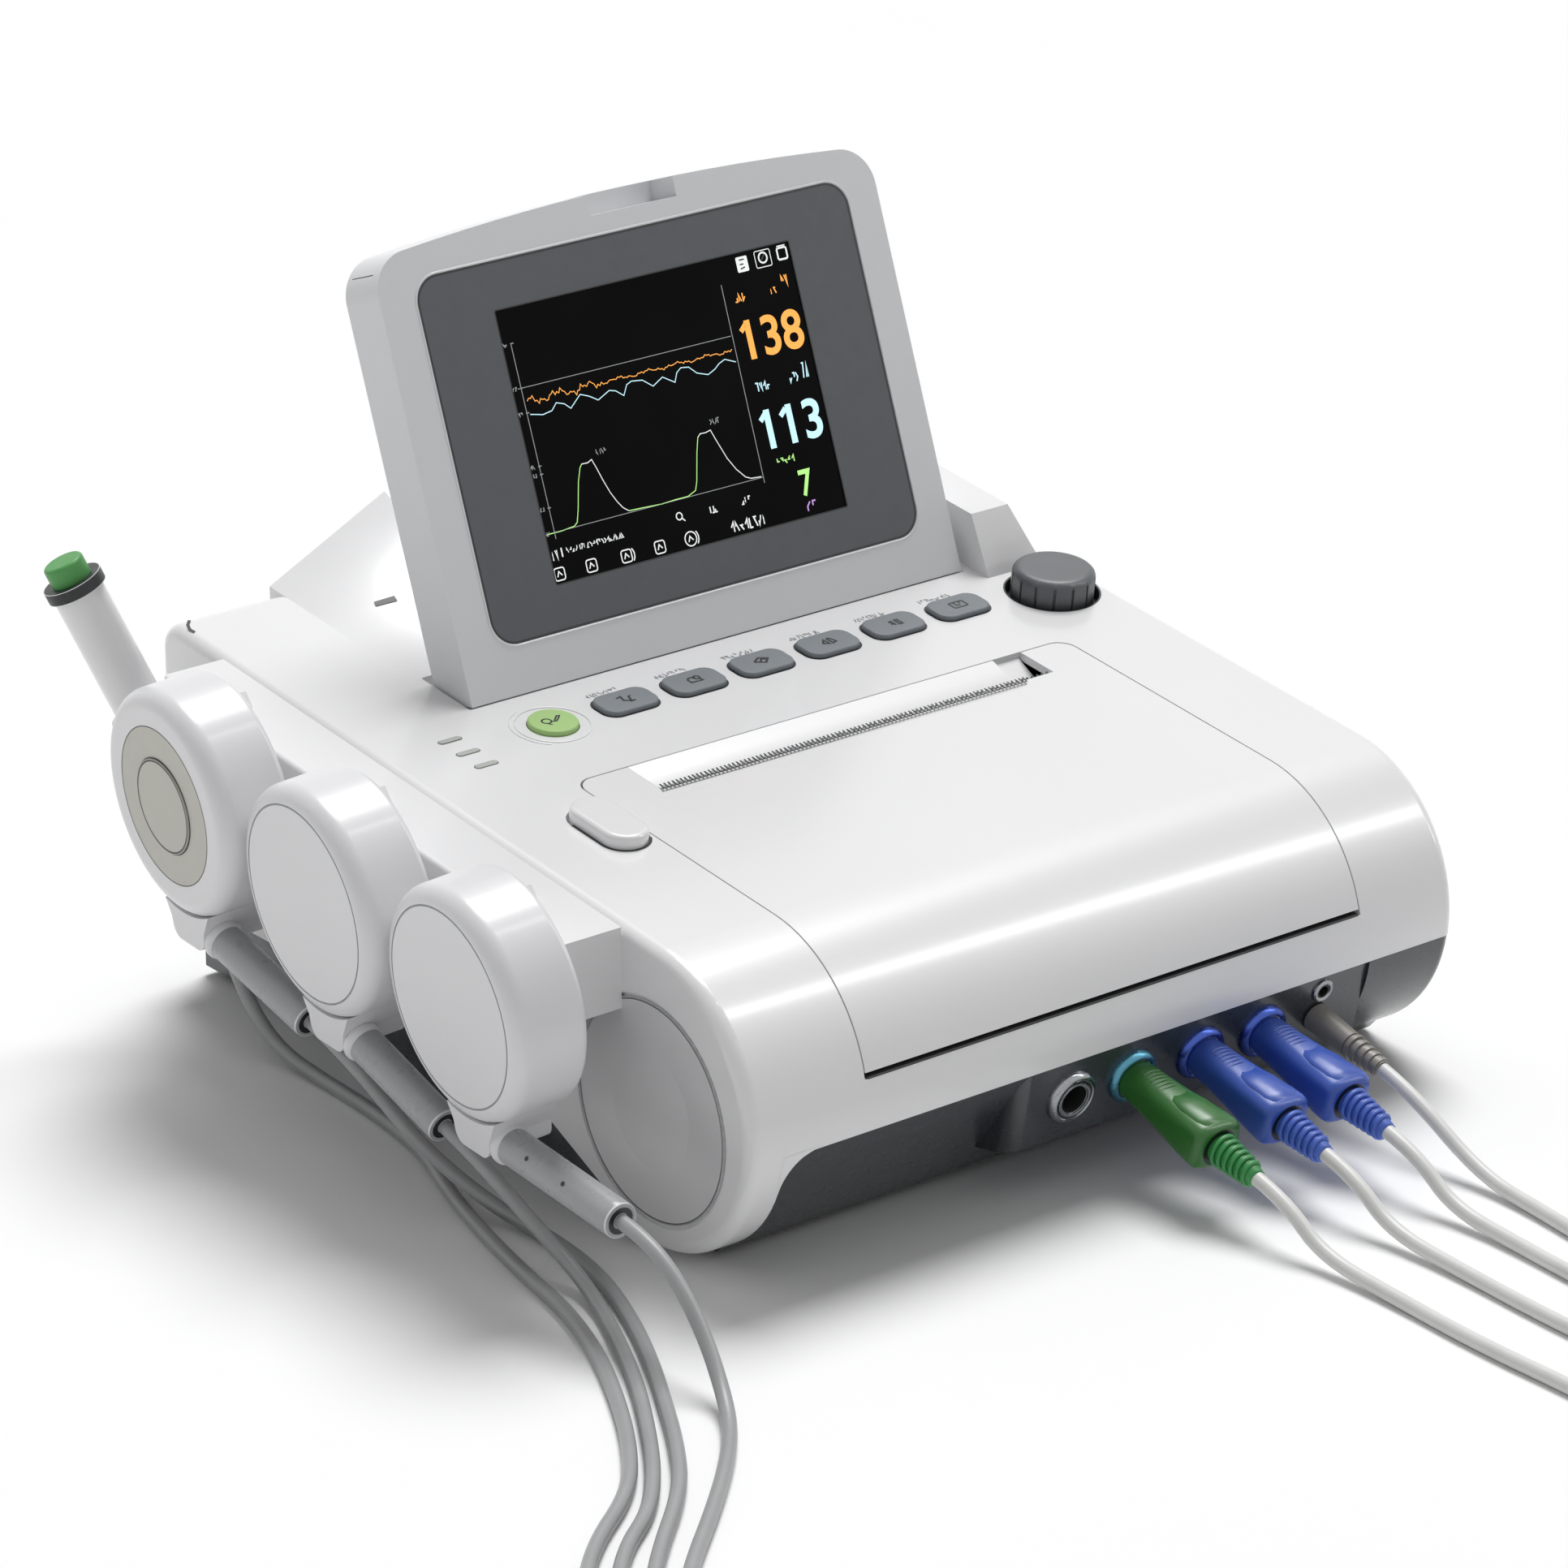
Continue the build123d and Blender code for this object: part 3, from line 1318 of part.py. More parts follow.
with BuildPart() as marker_body:
    with BuildSketch(marker_plane):
        Circle(marker_radius)
    extrude(amount=marker_length)
    with BuildSketch(marker_plane.offset(marker_length)):
        Circle(marker_neck)
    extrude(amount=marker_neck_length)
    with BuildSketch(marker_plane):
        Circle(marker_relief_radius)
    extrude(amount=-marker_relief_length)
    with BuildSketch(marker_plane.offset(marker_length - 2)):
        Circle(marker_button_radius + running_gap)
    extrude(amount=marker_neck_length + 3, mode=Mode.SUBTRACT)
finish(marker_body, "marker_body")

with BuildPart() as marker_button:
    with BuildSketch(marker_plane.offset(marker_length - 2 + marker_button_travel + 0.3)):
        Circle(marker_button_radius)
    extrude(amount=marker_neck_length + 2 - marker_button_travel - 0.3 + marker_button_height)
    fillet(marker_button.edges().sort_by(Axis.Z)[-1], 1.2)
finish(marker_button, "marker_button")

# ---------------------------------------------------------------- sockets and plugs
def socket_plane(x, z):
    """A plane on the socket block's sloping face at (x, z), facing out and down."""
    return Plane(
        origin=(x, socket_face_y + (seam_z - z) * face_run, z),
        x_dir=(1, 0, 0),
        z_dir=(0, -1, -face_run),
    )


with BuildPart() as patient_sockets:
    for x in socket_x:
        place = socket_plane(x, socket_z)
        with BuildSketch(place.offset(socket_proud - socket_length)):
            Circle(socket_radius)
        extrude(amount=socket_length)
        with BuildSketch(place.offset(socket_proud - socket_length + 2)):
            Circle(socket_bore)
        extrude(amount=socket_length, mode=Mode.SUBTRACT)
finish(patient_sockets, "patient_sockets")

with BuildPart() as small_jacks:
    for x, z in zip(jack_x, jack_z):
        place = socket_plane(x, z)
        with BuildSketch(place.offset(0.6 - socket_length)):
            Circle(jack_radius)
        extrude(amount=socket_length)
        with BuildSketch(place.offset(0.6 - socket_length + 2)):
            Circle(jack_bore)
        extrude(amount=socket_length, mode=Mode.SUBTRACT)
finish(small_jacks, "small_jacks")

plug_ends = []
plug_labels = ("green_plug", "blue_plug_1", "blue_plug_2")
for x, label in zip(socket_x[1:], plug_labels):
    place = socket_plane(x, socket_z)
    with BuildPart() as plug:
        with BuildSketch(place.offset(socket_proud - plug_tip)):
            Circle(socket_bore - running_gap)
        extrude(amount=plug_tip)
        with BuildSketch(place.offset(socket_proud)):
            Circle(socket_radius - 0.4)
        extrude(amount=plug_ring)
        with BuildSketch(place.offset(socket_proud + plug_ring)):
            RectangleRounded(plug_width, plug_height, 5)
        extrude(amount=plug_length - plug_ring)
        body_faces = plug.faces().filter_by(GeomType.PLANE).sort_by(Axis.Y)
        chamfer(body_faces[0].edges(), 2.2)
        boot_plane = place.offset(socket_proud + plug_length)
        with BuildSketch(boot_plane):
            Circle(boot_radius)
        with BuildSketch(boot_plane.offset(boot_length)):
            Circle(boot_end_radius)
        loft()
        for i in range(boot_ribs):
            with BuildSketch(boot_plane.offset(2 + i * boot_length / boot_ribs)):
                Circle(boot_radius + 0.6 - i * (boot_radius - boot_end_radius) / boot_ribs)
            extrude(amount=1.6)
    finish(plug, label)
    plug_ends.append(boot_plane.offset(boot_length))

with BuildPart() as marker_plug:
    place = socket_plane(jack_x[1], jack_z[1])
    with BuildSketch(place.offset(0.6 - plug_tip)):
        Circle(jack_bore - running_gap)
    extrude(amount=plug_tip)
    with BuildSketch(place.offset(0.6)):
        Circle(marker_plug_radius)
    with BuildSketch(place.offset(0.6 + marker_plug_length)):
        Circle(marker_plug_radius - 0.6)
    loft()
    with BuildSketch(place.offset(0.6 + marker_plug_length)):
        Circle(marker_plug_radius - 1)
    with BuildSketch(place.offset(0.6 + marker_plug_length + marker_boot_length)):
        Circle(cord_radius + 0.5)
    loft()
    for i in range(boot_ribs):
        with BuildSketch(place.offset(1.5 + marker_plug_length + i * marker_boot_length / boot_ribs)):
            Circle(marker_plug_radius - 0.4 - i * 0.25)
        extrude(amount=1.4)
finish(marker_plug, "marker_plug")
plug_ends.append(place.offset(0.6 + marker_plug_length + marker_boot_length))

# ---------------------------------------------------------------- cords
# Each cord runs from its transducer to its coil, and from the coil's top to its plug.
# A point is the corner of two straight runs, at the cord's middle.
cord_routes = {
    "toco_cord": (
        [
            (-147.7, 9.3, 45.0), (-147.6, -2.4, 42.1), (-145.0, -17.0, 33.5),
            (-140.5, -30.0, 21.0), (-134.5, -44.5, 10.5), (-129.0, -61.0, 3.5),
            (-127.0, -82.0, 2.25), (-130.0, -107.0, 2.25), (-139.0, -133.0, 2.25),
            (-150.5, -158.0, 2.25), (-163.0, -180.5, 2.25), (-176.0, -203.0, 2.25),
            (-191.0, -224.5, 2.25), (-216.5, -248.0, 2.25), (-232.0, -265.0, 2.25),
            (-240.0, -285.5, 2.25), (-235.5, -306.0, 2.25), (-217.5, -323.5, 2.25),
            (-190.5, -341.0, 2.25), (-157.6, -368.7, 2.25), (-125.2, -392.0, 2.25),
        ],
        [
            (-119.5, -432.5, 15.75), (-126.7, -442.1, 14.5), (-131.0, -456.5, 9.5),
            (-127.0, -472.0, 4.0), (-115.0, -484.5, 2.25), (-97.5, -496.0, 2.25),
            (-76.0, -505.5, 2.25), (-52.0, -506.0, 2.25), (-32.0, -496.0, 2.25),
            (-28.0, -463.5, 2.25), (-9.0, -440.0, 2.25), (13.0, -414.5, 2.25),
            (33.5, -392.0, 2.25), (48.5, -370.5, 2.25), (63.5, -336.0, 2.25),
            (62.0, -297.0, 2.25), (63.5, -258.0, 2.25), (62.5, -229.0, 4.5),
            (62.6, -213.6, 15.3), (62.6, -200.9, 18.2),
        ],
    ),
    "ultrasound_cord_1": (
        [
            (-147.7, -57.7, 35.5), (-147.3, -68.0, 32.4), (-144.5, -81.0, 24.0),
            (-140.5, -94.0, 13.5), (-138.5, -108.0, 5.5), (-142.5, -124.0, 2.25),
            (-152.5, -147.0, 2.25), (-163.5, -169.0, 2.25), (-176.0, -190.0, 2.25),
            (-189.5, -210.5, 2.25), (-205.0, -229.0, 2.25), (-223.0, -241.5, 2.25),
            (-240.5, -261.0, 2.25), (-250.0, -285.5, 2.25), (-245.0, -309.0, 2.25),
            (-226.0, -328.5, 2.25), (-206.7, -344.1, 2.25), (-186.4, -357.0, 2.25),
        ],
        [
            (-180.7, -397.6, 15.75), (-187.9, -407.1, 14.5), (-192.5, -421.5, 9.5),
            (-187.5, -436.5, 4.0), (-175.0, -450.0, 2.25), (-153.5, -464.5, 2.25),
            (-127.5, -486.0, 2.25), (-100.0, -504.5, 2.25), (-73.5, -516.0, 2.25),
            (-48.0, -515.5, 2.25), (-26.5, -505.0, 2.25), (-21.5, -472.5, 2.25),
            (-3.5, -448.5, 2.25), (16.0, -425.5, 2.25), (40.5, -399.0, 2.25),
            (62.0, -372.5, 2.25), (75.5, -352.0, 2.25), (88.5, -325.0, 2.25),
            (86.0, -290.0, 2.25), (88.0, -254.0, 2.25), (87.0, -229.0, 4.5),
            (87.2, -213.6, 15.3), (87.2, -200.9, 18.2),
        ],
    ),
    "ultrasound_cord_2": (
        [
            (-147.7, -141.1, 37.1), (-147.7, -152.9, 36.0), (-147.5, -167.0, 28.5),
            (-147.5, -179.0, 16.0), (-151.0, -191.0, 6.0), (-158.0, -203.5, 2.25),
            (-171.0, -219.0, 2.25), (-190.5, -238.0, 2.25), (-213.0, -258.0, 2.25),
            (-225.5, -271.0, 2.25), (-230.5, -287.5, 2.25), (-224.5, -304.5, 2.25),
            (-206.5, -320.5, 2.25), (-180.5, -337.5, 2.25), (-149.5, -363.0, 2.25),
            (-115.5, -387.5, 2.25), (-84.5, -412.7, 2.25), (-64.0, -426.9, 2.25),
        ],
        [
            (-64.0, -426.9, 15.75), (-52.0, -436.0, 14.5), (-37.0, -439.5, 9.0),
            (-23.5, -435.0, 3.5), (-11.0, -421.5, 2.25), (-2.0, -399.5, 2.25),
            (18.5, -380.5, 2.25), (34.5, -359.5, 2.25), (37.5, -336.0, 2.25),
            (35.5, -296.0, 2.25), (37.0, -258.0, 2.25), (36.0, -229.0, 4.5),
            (36.0, -213.6, 15.3), (36.0, -200.9, 18.2),
        ],
    ),
    "marker_cord": (
        [
            (-115.8, 118.5, 71.7), (-113.2, 116.7, 64.9), (-112.5, 113.5, 54.0),
            (-114.0, 108.0, 41.0), (-116.0, 99.0, 27.0), (-117.5, 86.0, 14.0),
            (-117.5, 70.0, 5.0), (-116.0, 50.0, 2.25), (-117.0, 20.0, 2.25),
            (-121.5, -10.0, 2.25), (-132.0, -37.0, 2.25), (-139.5, -63.0, 2.25),
            (-146.5, -93.0, 2.25), (-151.0, -120.0, 2.25), (-160.0, -146.0, 2.25),
            (-171.5, -170.0, 2.25), (-185.5, -194.5, 2.25), (-202.5, -217.0, 2.25),
            (-228.5, -235.0, 2.25), (-248.0, -256.5, 2.25), (-266.0, -280.5, 2.25),
            (-281.3, -305.3, 2.25), (-299.5, -327.8, 2.25),
        ],
        [
            (-293.9, -368.4, 15.75), (-284.6, -376.0, 14.5), (-276.0, -386.0, 9.0),
            (-265.0, -394.5, 3.5), (-249.5, -404.0, 2.25), (-222.0, -425.5, 2.25),
            (-189.0, -448.5, 2.25), (-156.5, -475.0, 2.25), (-125.0, -496.5, 2.25),
            (-100.0, -517.5, 2.25), (-71.5, -526.5, 2.25), (-45.5, -525.0, 2.25),
            (-21.5, -513.0, 2.25), (-15.5, -481.0, 2.25), (1.5, -456.0, 2.25),
            (26.0, -429.5, 2.25), (52.0, -399.5, 2.25), (75.5, -371.0, 2.25),
            (91.0, -342.0, 2.25), (101.0, -309.0, 2.25), (104.5, -277.0, 2.25),
            (108.5, -245.0, 2.25), (109.5, -218.0, 3.5), (109.0, -187.7, 19.7),
            (109.0, -174.9, 22.7),
        ],
    ),
}
coil_centres = {
    "toco_cord": (-142.6, -415.1),
    "ultrasound_cord_1": (-203.8, -380.1),
    "ultrasound_cord_2": (-81.4, -450.0),
    "marker_cord": (-276.4, -345.3),
}
coil_mean = (coil_turn_radii[0] + coil_turn_radii[-1]) / 2
coil_turns = coil_layers * len(coil_turn_radii)


def arc_radii(points):
    """One arc radius for each corner of a route: 0.45 of its shorter run."""
    radii = []
    for before, corner, after in zip(points, points[1:], points[2:]):
        run_in = Vector(*corner) - Vector(*before)
        run_out = Vector(*after) - Vector(*corner)
        half_turn = radians(run_in.get_angle(run_out)) / 2
        radii.append(0.45 * min(run_in.length, run_out.length) / tan(half_turn))
    return radii


for label, routes in cord_routes.items():
    cord_length = 2 * pi * coil_mean * coil_turns
    with BuildPart() as cord:
        for points in routes:
            radii = arc_radii(points)
            with BuildLine() as path:
                FilletPolyline(*points, radius=radii)
            route = path.wire()
            with BuildSketch(Plane(origin=route @ 0, z_dir=route % 0)):
                Circle(cord_radius)
            sweep(path=route)
            cord_length += route.length
            print(label, "arc radii", [round(radius) for radius in radii])
            print(label, "run", round(route.length), "of", round(route.length * pi * cord_radius**2))
    print(label, "length", round(cord_length), "volume", round(cord.part.volume))
    finish(cord, label)
    centre = Plane(origin=(*coil_centres[label], 0), z_dir=(0, 0, 1))
    with BuildPart() as coil:
        with BuildSketch(centre):
            Circle(coil_turn_radii[-1] + cord_radius)
            Circle(coil_turn_radii[0] - cord_radius, mode=Mode.SUBTRACT)
        extrude(amount=coil_layers * 2 * cord_radius)
    finish(coil, label + "_coil")
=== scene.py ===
"""The looks of the patient monitor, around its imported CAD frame.

Lengths are in metres for the materials, the floor, the lights and the camera, and in
millimetres for the cords' routes and the pieces.
"""
import math
import random

import bmesh
import bpy
from mathutils import Matrix, Vector

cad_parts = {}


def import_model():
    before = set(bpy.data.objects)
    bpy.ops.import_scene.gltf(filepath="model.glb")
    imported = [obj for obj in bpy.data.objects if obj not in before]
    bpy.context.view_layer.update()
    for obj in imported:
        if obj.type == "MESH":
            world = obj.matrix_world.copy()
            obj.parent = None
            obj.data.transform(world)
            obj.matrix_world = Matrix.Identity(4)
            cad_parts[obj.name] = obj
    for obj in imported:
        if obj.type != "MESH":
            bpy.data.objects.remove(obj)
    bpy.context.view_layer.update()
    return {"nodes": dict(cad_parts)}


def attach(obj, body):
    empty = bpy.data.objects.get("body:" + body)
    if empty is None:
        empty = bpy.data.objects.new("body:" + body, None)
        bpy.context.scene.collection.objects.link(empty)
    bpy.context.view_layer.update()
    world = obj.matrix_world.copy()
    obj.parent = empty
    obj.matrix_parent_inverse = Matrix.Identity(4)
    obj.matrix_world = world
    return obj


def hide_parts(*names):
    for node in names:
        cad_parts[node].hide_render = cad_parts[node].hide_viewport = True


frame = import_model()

MM = 0.001
nodes = frame["nodes"]


# ------- materials
def rgb(text):
    """A colour written as six hexadecimal digits, in linear light."""
    parts = [int(text[i:i + 2], 16) / 255 for i in (0, 2, 4)]
    return [c / 12.92 if c <= 0.04045 else ((c + 0.055) / 1.055) ** 2.4 for c in parts]


class Shader:
    """A material under construction: a Principled shader and the nodes that feed it."""

    def __init__(self, name):
        self.material = bpy.data.materials.new(name)
        self.material.use_nodes = True
        self.tree = self.material.node_tree
        self.bsdf = self.tree.nodes["Principled BSDF"]
        self.place = self.tree.nodes.new("ShaderNodeTexCoord").outputs["Object"]

    def node(self, kind, inputs=None, **settings):
        """A new node with its settings and inputs."""
        made = self.tree.nodes.new("ShaderNode" + kind)
        for key, value in settings.items():
            setattr(made, key, value)
        for key, value in (inputs or {}).items():
            self.feed(made.inputs[key], value)
        return made

    def feed(self, socket, value):
        """Link an output to a socket, or set it to a constant."""
        if isinstance(value, bpy.types.NodeSocket):
            self.tree.links.new(value, socket)
        else:
            socket.default_value = value

    def noise(self, scale, detail=2, stretch=(1, 1, 1)):
        """Noise fixed to the object, finer along an axis that is stretched."""
        vector = self.node("Mapping", {"Vector": self.place, "Scale": stretch}).outputs["Vector"]
        made = self.node("TexNoise", {"Vector": vector, "Scale": scale, "Detail": detail})
        return made.outputs["Fac"]

    def ramp(self, fac, low, high, start=0.3, end=0.7):
        """fac from start to end, spread over the numbers low to high."""
        values = {"Value": fac, "From Min": start, "From Max": end, "To Min": low, "To Max": high}
        return self.node("MapRange", values).outputs["Result"]

    def calc(self, operation, *values):
        """One step of arithmetic."""
        return self.node("Math", dict(enumerate(values)), operation=operation).outputs[0]

    def mix(self, fac, first, second, blend="MIX"):
        """Two colours mixed."""
        made = self.node("Mix", data_type="RGBA", blend_type=blend)
        for index, value in ((0, fac), (6, first), (7, second)):
            self.feed(made.inputs[index], [*value, 1] if isinstance(value, list) else value)
        return made.outputs[2]

    def shaded(self, colour, fac):
        """A colour multiplied by fac."""
        grey = self.node("CombineColor", dict.fromkeys(("Red", "Green", "Blue"), fac))
        return self.mix(1, colour, grey.outputs["Color"], "MULTIPLY")

    def bump(self, height, distance):
        """Relief as deep as distance."""
        made = self.node("Bump", {"Height": height, "Distance": distance, "Strength": 1})
        self.tree.links.new(made.outputs["Normal"], self.bsdf.inputs["Normal"])

    def set(self, **values):
        """Feed the shader's own sockets."""
        for key, value in values.items():
            self.feed(self.bsdf.inputs[key.replace("_", " ")], value)


def moulded(name, colour, rough=0.42, grain=0.03, shade=0.05, coat=0, dish=False):
    """Moulded plastic: a faint blotch in its colour, fine spark-eroded grain, uneven gloss.

    grain is the relief's depth in millimetres. Coated plastic is the glossy kind: its gloss
    varies less, and its grain is too fine for a relief. dish adds the nose's round panel
    and its painted shade.
    """
    made = Shader(name)
    base = rgb(colour)
    dark = [c * (1 - shade) for c in base]
    body = made.mix(made.ramp(made.noise(14, 3), 0, 1), dark, base)
    height = made.noise(1600, 2)
    if dish:
        body, height = round_panel(made, body, height, grain)
    uneven = 0.015 if coat else 0.05
    gloss = made.ramp(made.noise(220, 4), rough - uneven, rough + uneven)
    made.set(Base_Color=body, Roughness=gloss, Coat_Weight=coat, Coat_Roughness=0.14)
    if grain >= 0.01 or dish:
        made.bump(height, grain * MM)
    return made.material


def round_panel(made, body, height, grain):
    """The round panel of the nose's left end: shallow, inside a fine groove, with painted shade
    over the panel and darker painted shade in the groove.
    """
    middle_y, middle_z, radius = -0.104, 0.046, 0.0334
    end_x = -0.1070
    deepest = 2
    painted_panel_shade = [0.84, 0.84, 0.845]
    painted_groove_shade = [0.42, 0.42, 0.43]
    x, y, z = made.node("SeparateXYZ", {"Vector": made.place}).outputs
    back, up = made.calc("SUBTRACT", y, middle_y), made.calc("SUBTRACT", z, middle_z)
    flat = made.node("CombineXYZ", {"X": back, "Y": up}).outputs[0]
    away = made.node("VectorMath", {0: flat}, operation="LENGTH").outputs["Value"]
    on_end = made.ramp(x, 1, 0, end_x - 0.0003, end_x)
    panel = made.calc("MULTIPLY", made.ramp(away, 1, 0, radius - 0.0004, radius), on_end)
    to_edge = made.calc("ABSOLUTE", made.calc("SUBTRACT", away, radius))
    groove = made.calc("MULTIPLY", made.ramp(to_edge, 1, 0, 0.0002, 0.0005), on_end)
    # painted shade: the panel a little darker, its groove much darker
    shade = made.mix(panel, [1, 1, 1], painted_panel_shade)
    shade = made.mix(groove, shade, painted_groove_shade)
    slope = made.ramp(away, 0, 1, 0.0180, 0.0332)
    sunk = made.calc("MULTIPLY", made.calc("MULTIPLY", slope, panel), deepest / grain)
    return made.mix(1, body, shade, "MULTIPLY"), made.calc("ADD", height, sunk)


def metal(name, colour, rough=0.3, stretch=(1, 1, 12)):
    """Turned or brushed metal with fine marks along one direction."""
    made = Shader(name)
    marks = made.noise(600, 4, stretch)
    base = rgb(colour)
    made.set(Base_Color=made.mix(made.ramp(marks, 0, 1), [c * 0.8 for c in base], base))
    made.set(Metallic=1, Roughness=made.ramp(marks, rough - 0.08, rough + 0.1))
    made.bump(marks, 0.01 * MM)
    return made.material


def rubber(name, colour, rough=0.75):
    """Matt rubber or soft plastic, dusty in places."""
    made = Shader(name)
    base = rgb(colour)
    dust = made.ramp(made.noise(60, 6), 0, 0.5, 0.45, 0.8)
    made.set(Base_Color=made.mix(dust, base, [c * 0.7 + 0.05 for c in base]))
    made.set(Roughness=made.ramp(made.noise(300), rough - 0.1, rough + 0.1))
    made.bump(made.noise(900, 4), 0.04 * MM)
    return made.material


def board(name):
    """A circuit board's green solder mask over copper tracks."""
    made = Shader(name)
    tracks = made.node("TexBrick", {"Vector": made.place, "Scale": 60, "Mortar Size": 0.03})
    colour = made.mix(tracks.outputs["Fac"], rgb("1f5a38"), rgb("3f8a55"))
    made.set(Base_Color=colour, Roughness=0.35)
    made.bump(made.noise(500), 0.02 * MM)
    return made.material


def chart_paper(name):
    """Matt chart paper with its printed grid."""
    made = Shader(name)
    mesh = {"Vector": made.place, "Scale": 50, "Mortar Size": 0.012}
    grid = made.node("TexBrick", mesh, offset=0)
    lines = made.mix(grid.outputs["Fac"], rgb("f4f1e8"), rgb("e3b49a"))
    fibres = made.ramp(made.noise(800, 4), 0.94, 1)
    made.set(Base_Color=made.shaded(lines, fibres), Roughness=0.9)
    made.bump(made.noise(900, 3), 0.02 * MM)
    return made.material


def glass_face(name):
    """The dark, glossy face of the display."""
    made = Shader(name)
    smear = made.noise(25, 5)
    made.set(Base_Color=made.mix(made.ramp(smear, 0, 1), rgb("010101"), rgb("040404")))
    made.set(Roughness=made.ramp(smear, 0.3, 0.4), Specular_IOR_Level=0.04)
    return made.material


def glowing(name, colour, strength):
    """A lit mark on the display."""
    made = Shader(name)
    flicker = made.ramp(made.noise(2500, 1), 0.85, 1)
    made.set(Base_Color=[*rgb(colour), 1], Roughness=0.4, Emission_Strength=strength)
    made.set(Emission_Color=made.shaded(rgb(colour), flicker))
    return made.material


def cord_sheath(name):
    """Soft light grey sheath, with painted shade that darkens it along the left side of the
    monitor.
    """
    made = Shader(name)
    across = made.node("SeparateXYZ", {"Vector": made.place}).outputs["X"]
    # painted shade: darker towards the monitor's left side
    light = made.mix(made.ramp(across, 0, 1, -0.12, 0.02), rgb("a3a4a5"), rgb("dcdcda"))
    blotch = made.ramp(made.noise(90, 3), 0.93, 1)
    made.set(Base_Color=made.shaded(light, blotch), Roughness=0.38)
    made.bump(made.noise(1800), 0.015 * MM)
    return made.material


def ink(name, colour, rough=0.5):
    """Printed ink, a little uneven; also used as flat painted shade."""
    made = Shader(name)
    base = rgb(colour)
    patch = made.ramp(made.noise(900, 3), 0, 1)
    made.set(Base_Color=made.mix(patch, [c * 0.75 for c in base], base), Roughness=rough)
    return made.material


# for moulded plastic: name, colour, roughness, grain, shade of the blotches and coat
HOUSING = moulded("housing_plastic", "e9e9ea", 0.3, 0.002, 0.012, 0.6)
DISPLAY = moulded("display_plastic", "dddee0", 0.32, 0.002, 0.012, 0.4)
KNOB = moulded("knob_plastic", "595d60", 0.4, 0.03, 0.1)
BLACK = moulded("black_plastic", "1b1d1f", 0.42, 0.03, 0.2)
PROBE = moulded("transducer_plastic", "e3e3e5", 0.34, 0.002, 0.012, 0.25)
BEIGE = moulded("insert_plastic", "c3c2b9", 0.45, 0.02, 0.03)
GREEN_PLUG = moulded("green_plug_plastic", "2c6a28", 0.33, 0.02, 0.12)
BLUE_PLUG = moulded("blue_plug_plastic", "3355b2", 0.33, 0.02, 0.12)
SHEATH = cord_sheath("cord_sheath")

finishes = [
    (KNOB, "knob"), (BEIGE, "toco_button"), (GREEN_PLUG, "green_plug"),
    (BLUE_PLUG, "blue_plug_1 blue_plug_2"), (DISPLAY, "display_front display_rear"),
    (rubber("feet_rubber", "1c1d1e"), "feet"), (BLACK, "stepper_motor speaker ac_inlet"),
    (chart_paper("chart_paper"), "paper_pack"), (glass_face("display_glass"), "display_screen"),
    (HOUSING, "paper_door door_latch transducer_rack"),
    (rubber("roller_rubber", "2b2c2d"), "platen_roller"),
    (PROBE, "toco_rear ultrasound_rear_1 ultrasound_rear_2"),
    (PROBE, "toco_front ultrasound_front_1 ultrasound_front_2"),
    (board("circuit_board"), "display_board key_board main_board"),
    (metal("tear_bar_steel", "c4c7c9", 0.3, (12, 1, 1)), "tear_bar"),
    (moulded("tray_plastic", "2f3336", 0.5, 0.03, 0.1), "paper_tray"),
    (moulded("head_ceramic", "d8d6cf", 0.3, 0.01, 0.05), "print_head"),
    (moulded("gear_acetal", "e6e1d0", 0.35, 0.01, 0.04), "motor_pinion"),
    (moulded("green_key_rubber", "a2c77a", 0.5, 0.02, 0.06), "start_key"),
    (moulded("battery_sleeve", "1d4f8a", 0.3, 0.01, 0.1), "battery_pack"),
    (moulded("marker_green", "4c9a4c", 0.45, 0.02, 0.1), "marker_button"),
    (moulded("light_lens", "b9bdb8", 0.25, 0.01, 0.1), "indicator_lights"),
    (moulded("bezel_plastic", "4d5155", 0.5, 0.012, 0.06), "display_bezel"),
    (metal("folded_aluminium", "aeb2b5", 0.42, (10, 1, 1)), "power_supply"),
    (moulded("grey_plug_plastic", "8f8b84", 0.4, 0.02, 0.1), "marker_plug"),
    (moulded("base_plastic", "33383c", 0.28, 0.003, 0.08, 0.5), "bottom_cover"),
    (moulded("marker_plastic", "e2e2e3", 0.3, 0.002, 0.02, 0.5), "marker_body"),
    (moulded("cover_plastic", "e9e9ea", 0.3, 0.002, 0.012, 0.6, dish=True), "top_cover"),
    (moulded("key_rubber", "767c81", 0.55, 0.02, 0.08), "key_1 key_2 key_3 key_4 key_5 key_6"),
    (metal("turned_steel", "b5b8ba", 0.28),
     "platen_shaft hinge_pins knob_shaft patient_sockets small_jacks"),
]


def dress(obj, material):
    """obj shows that material all over."""
    obj.data.materials.clear()
    obj.data.materials.append(material)
    return obj


def added(name, data):
    """A new object of the scene."""
    obj = bpy.data.objects.new(name, data)
    bpy.context.scene.collection.objects.link(obj)
    return obj


for material, names in finishes:
    for name in names.split():
        dress(nodes[name], material)


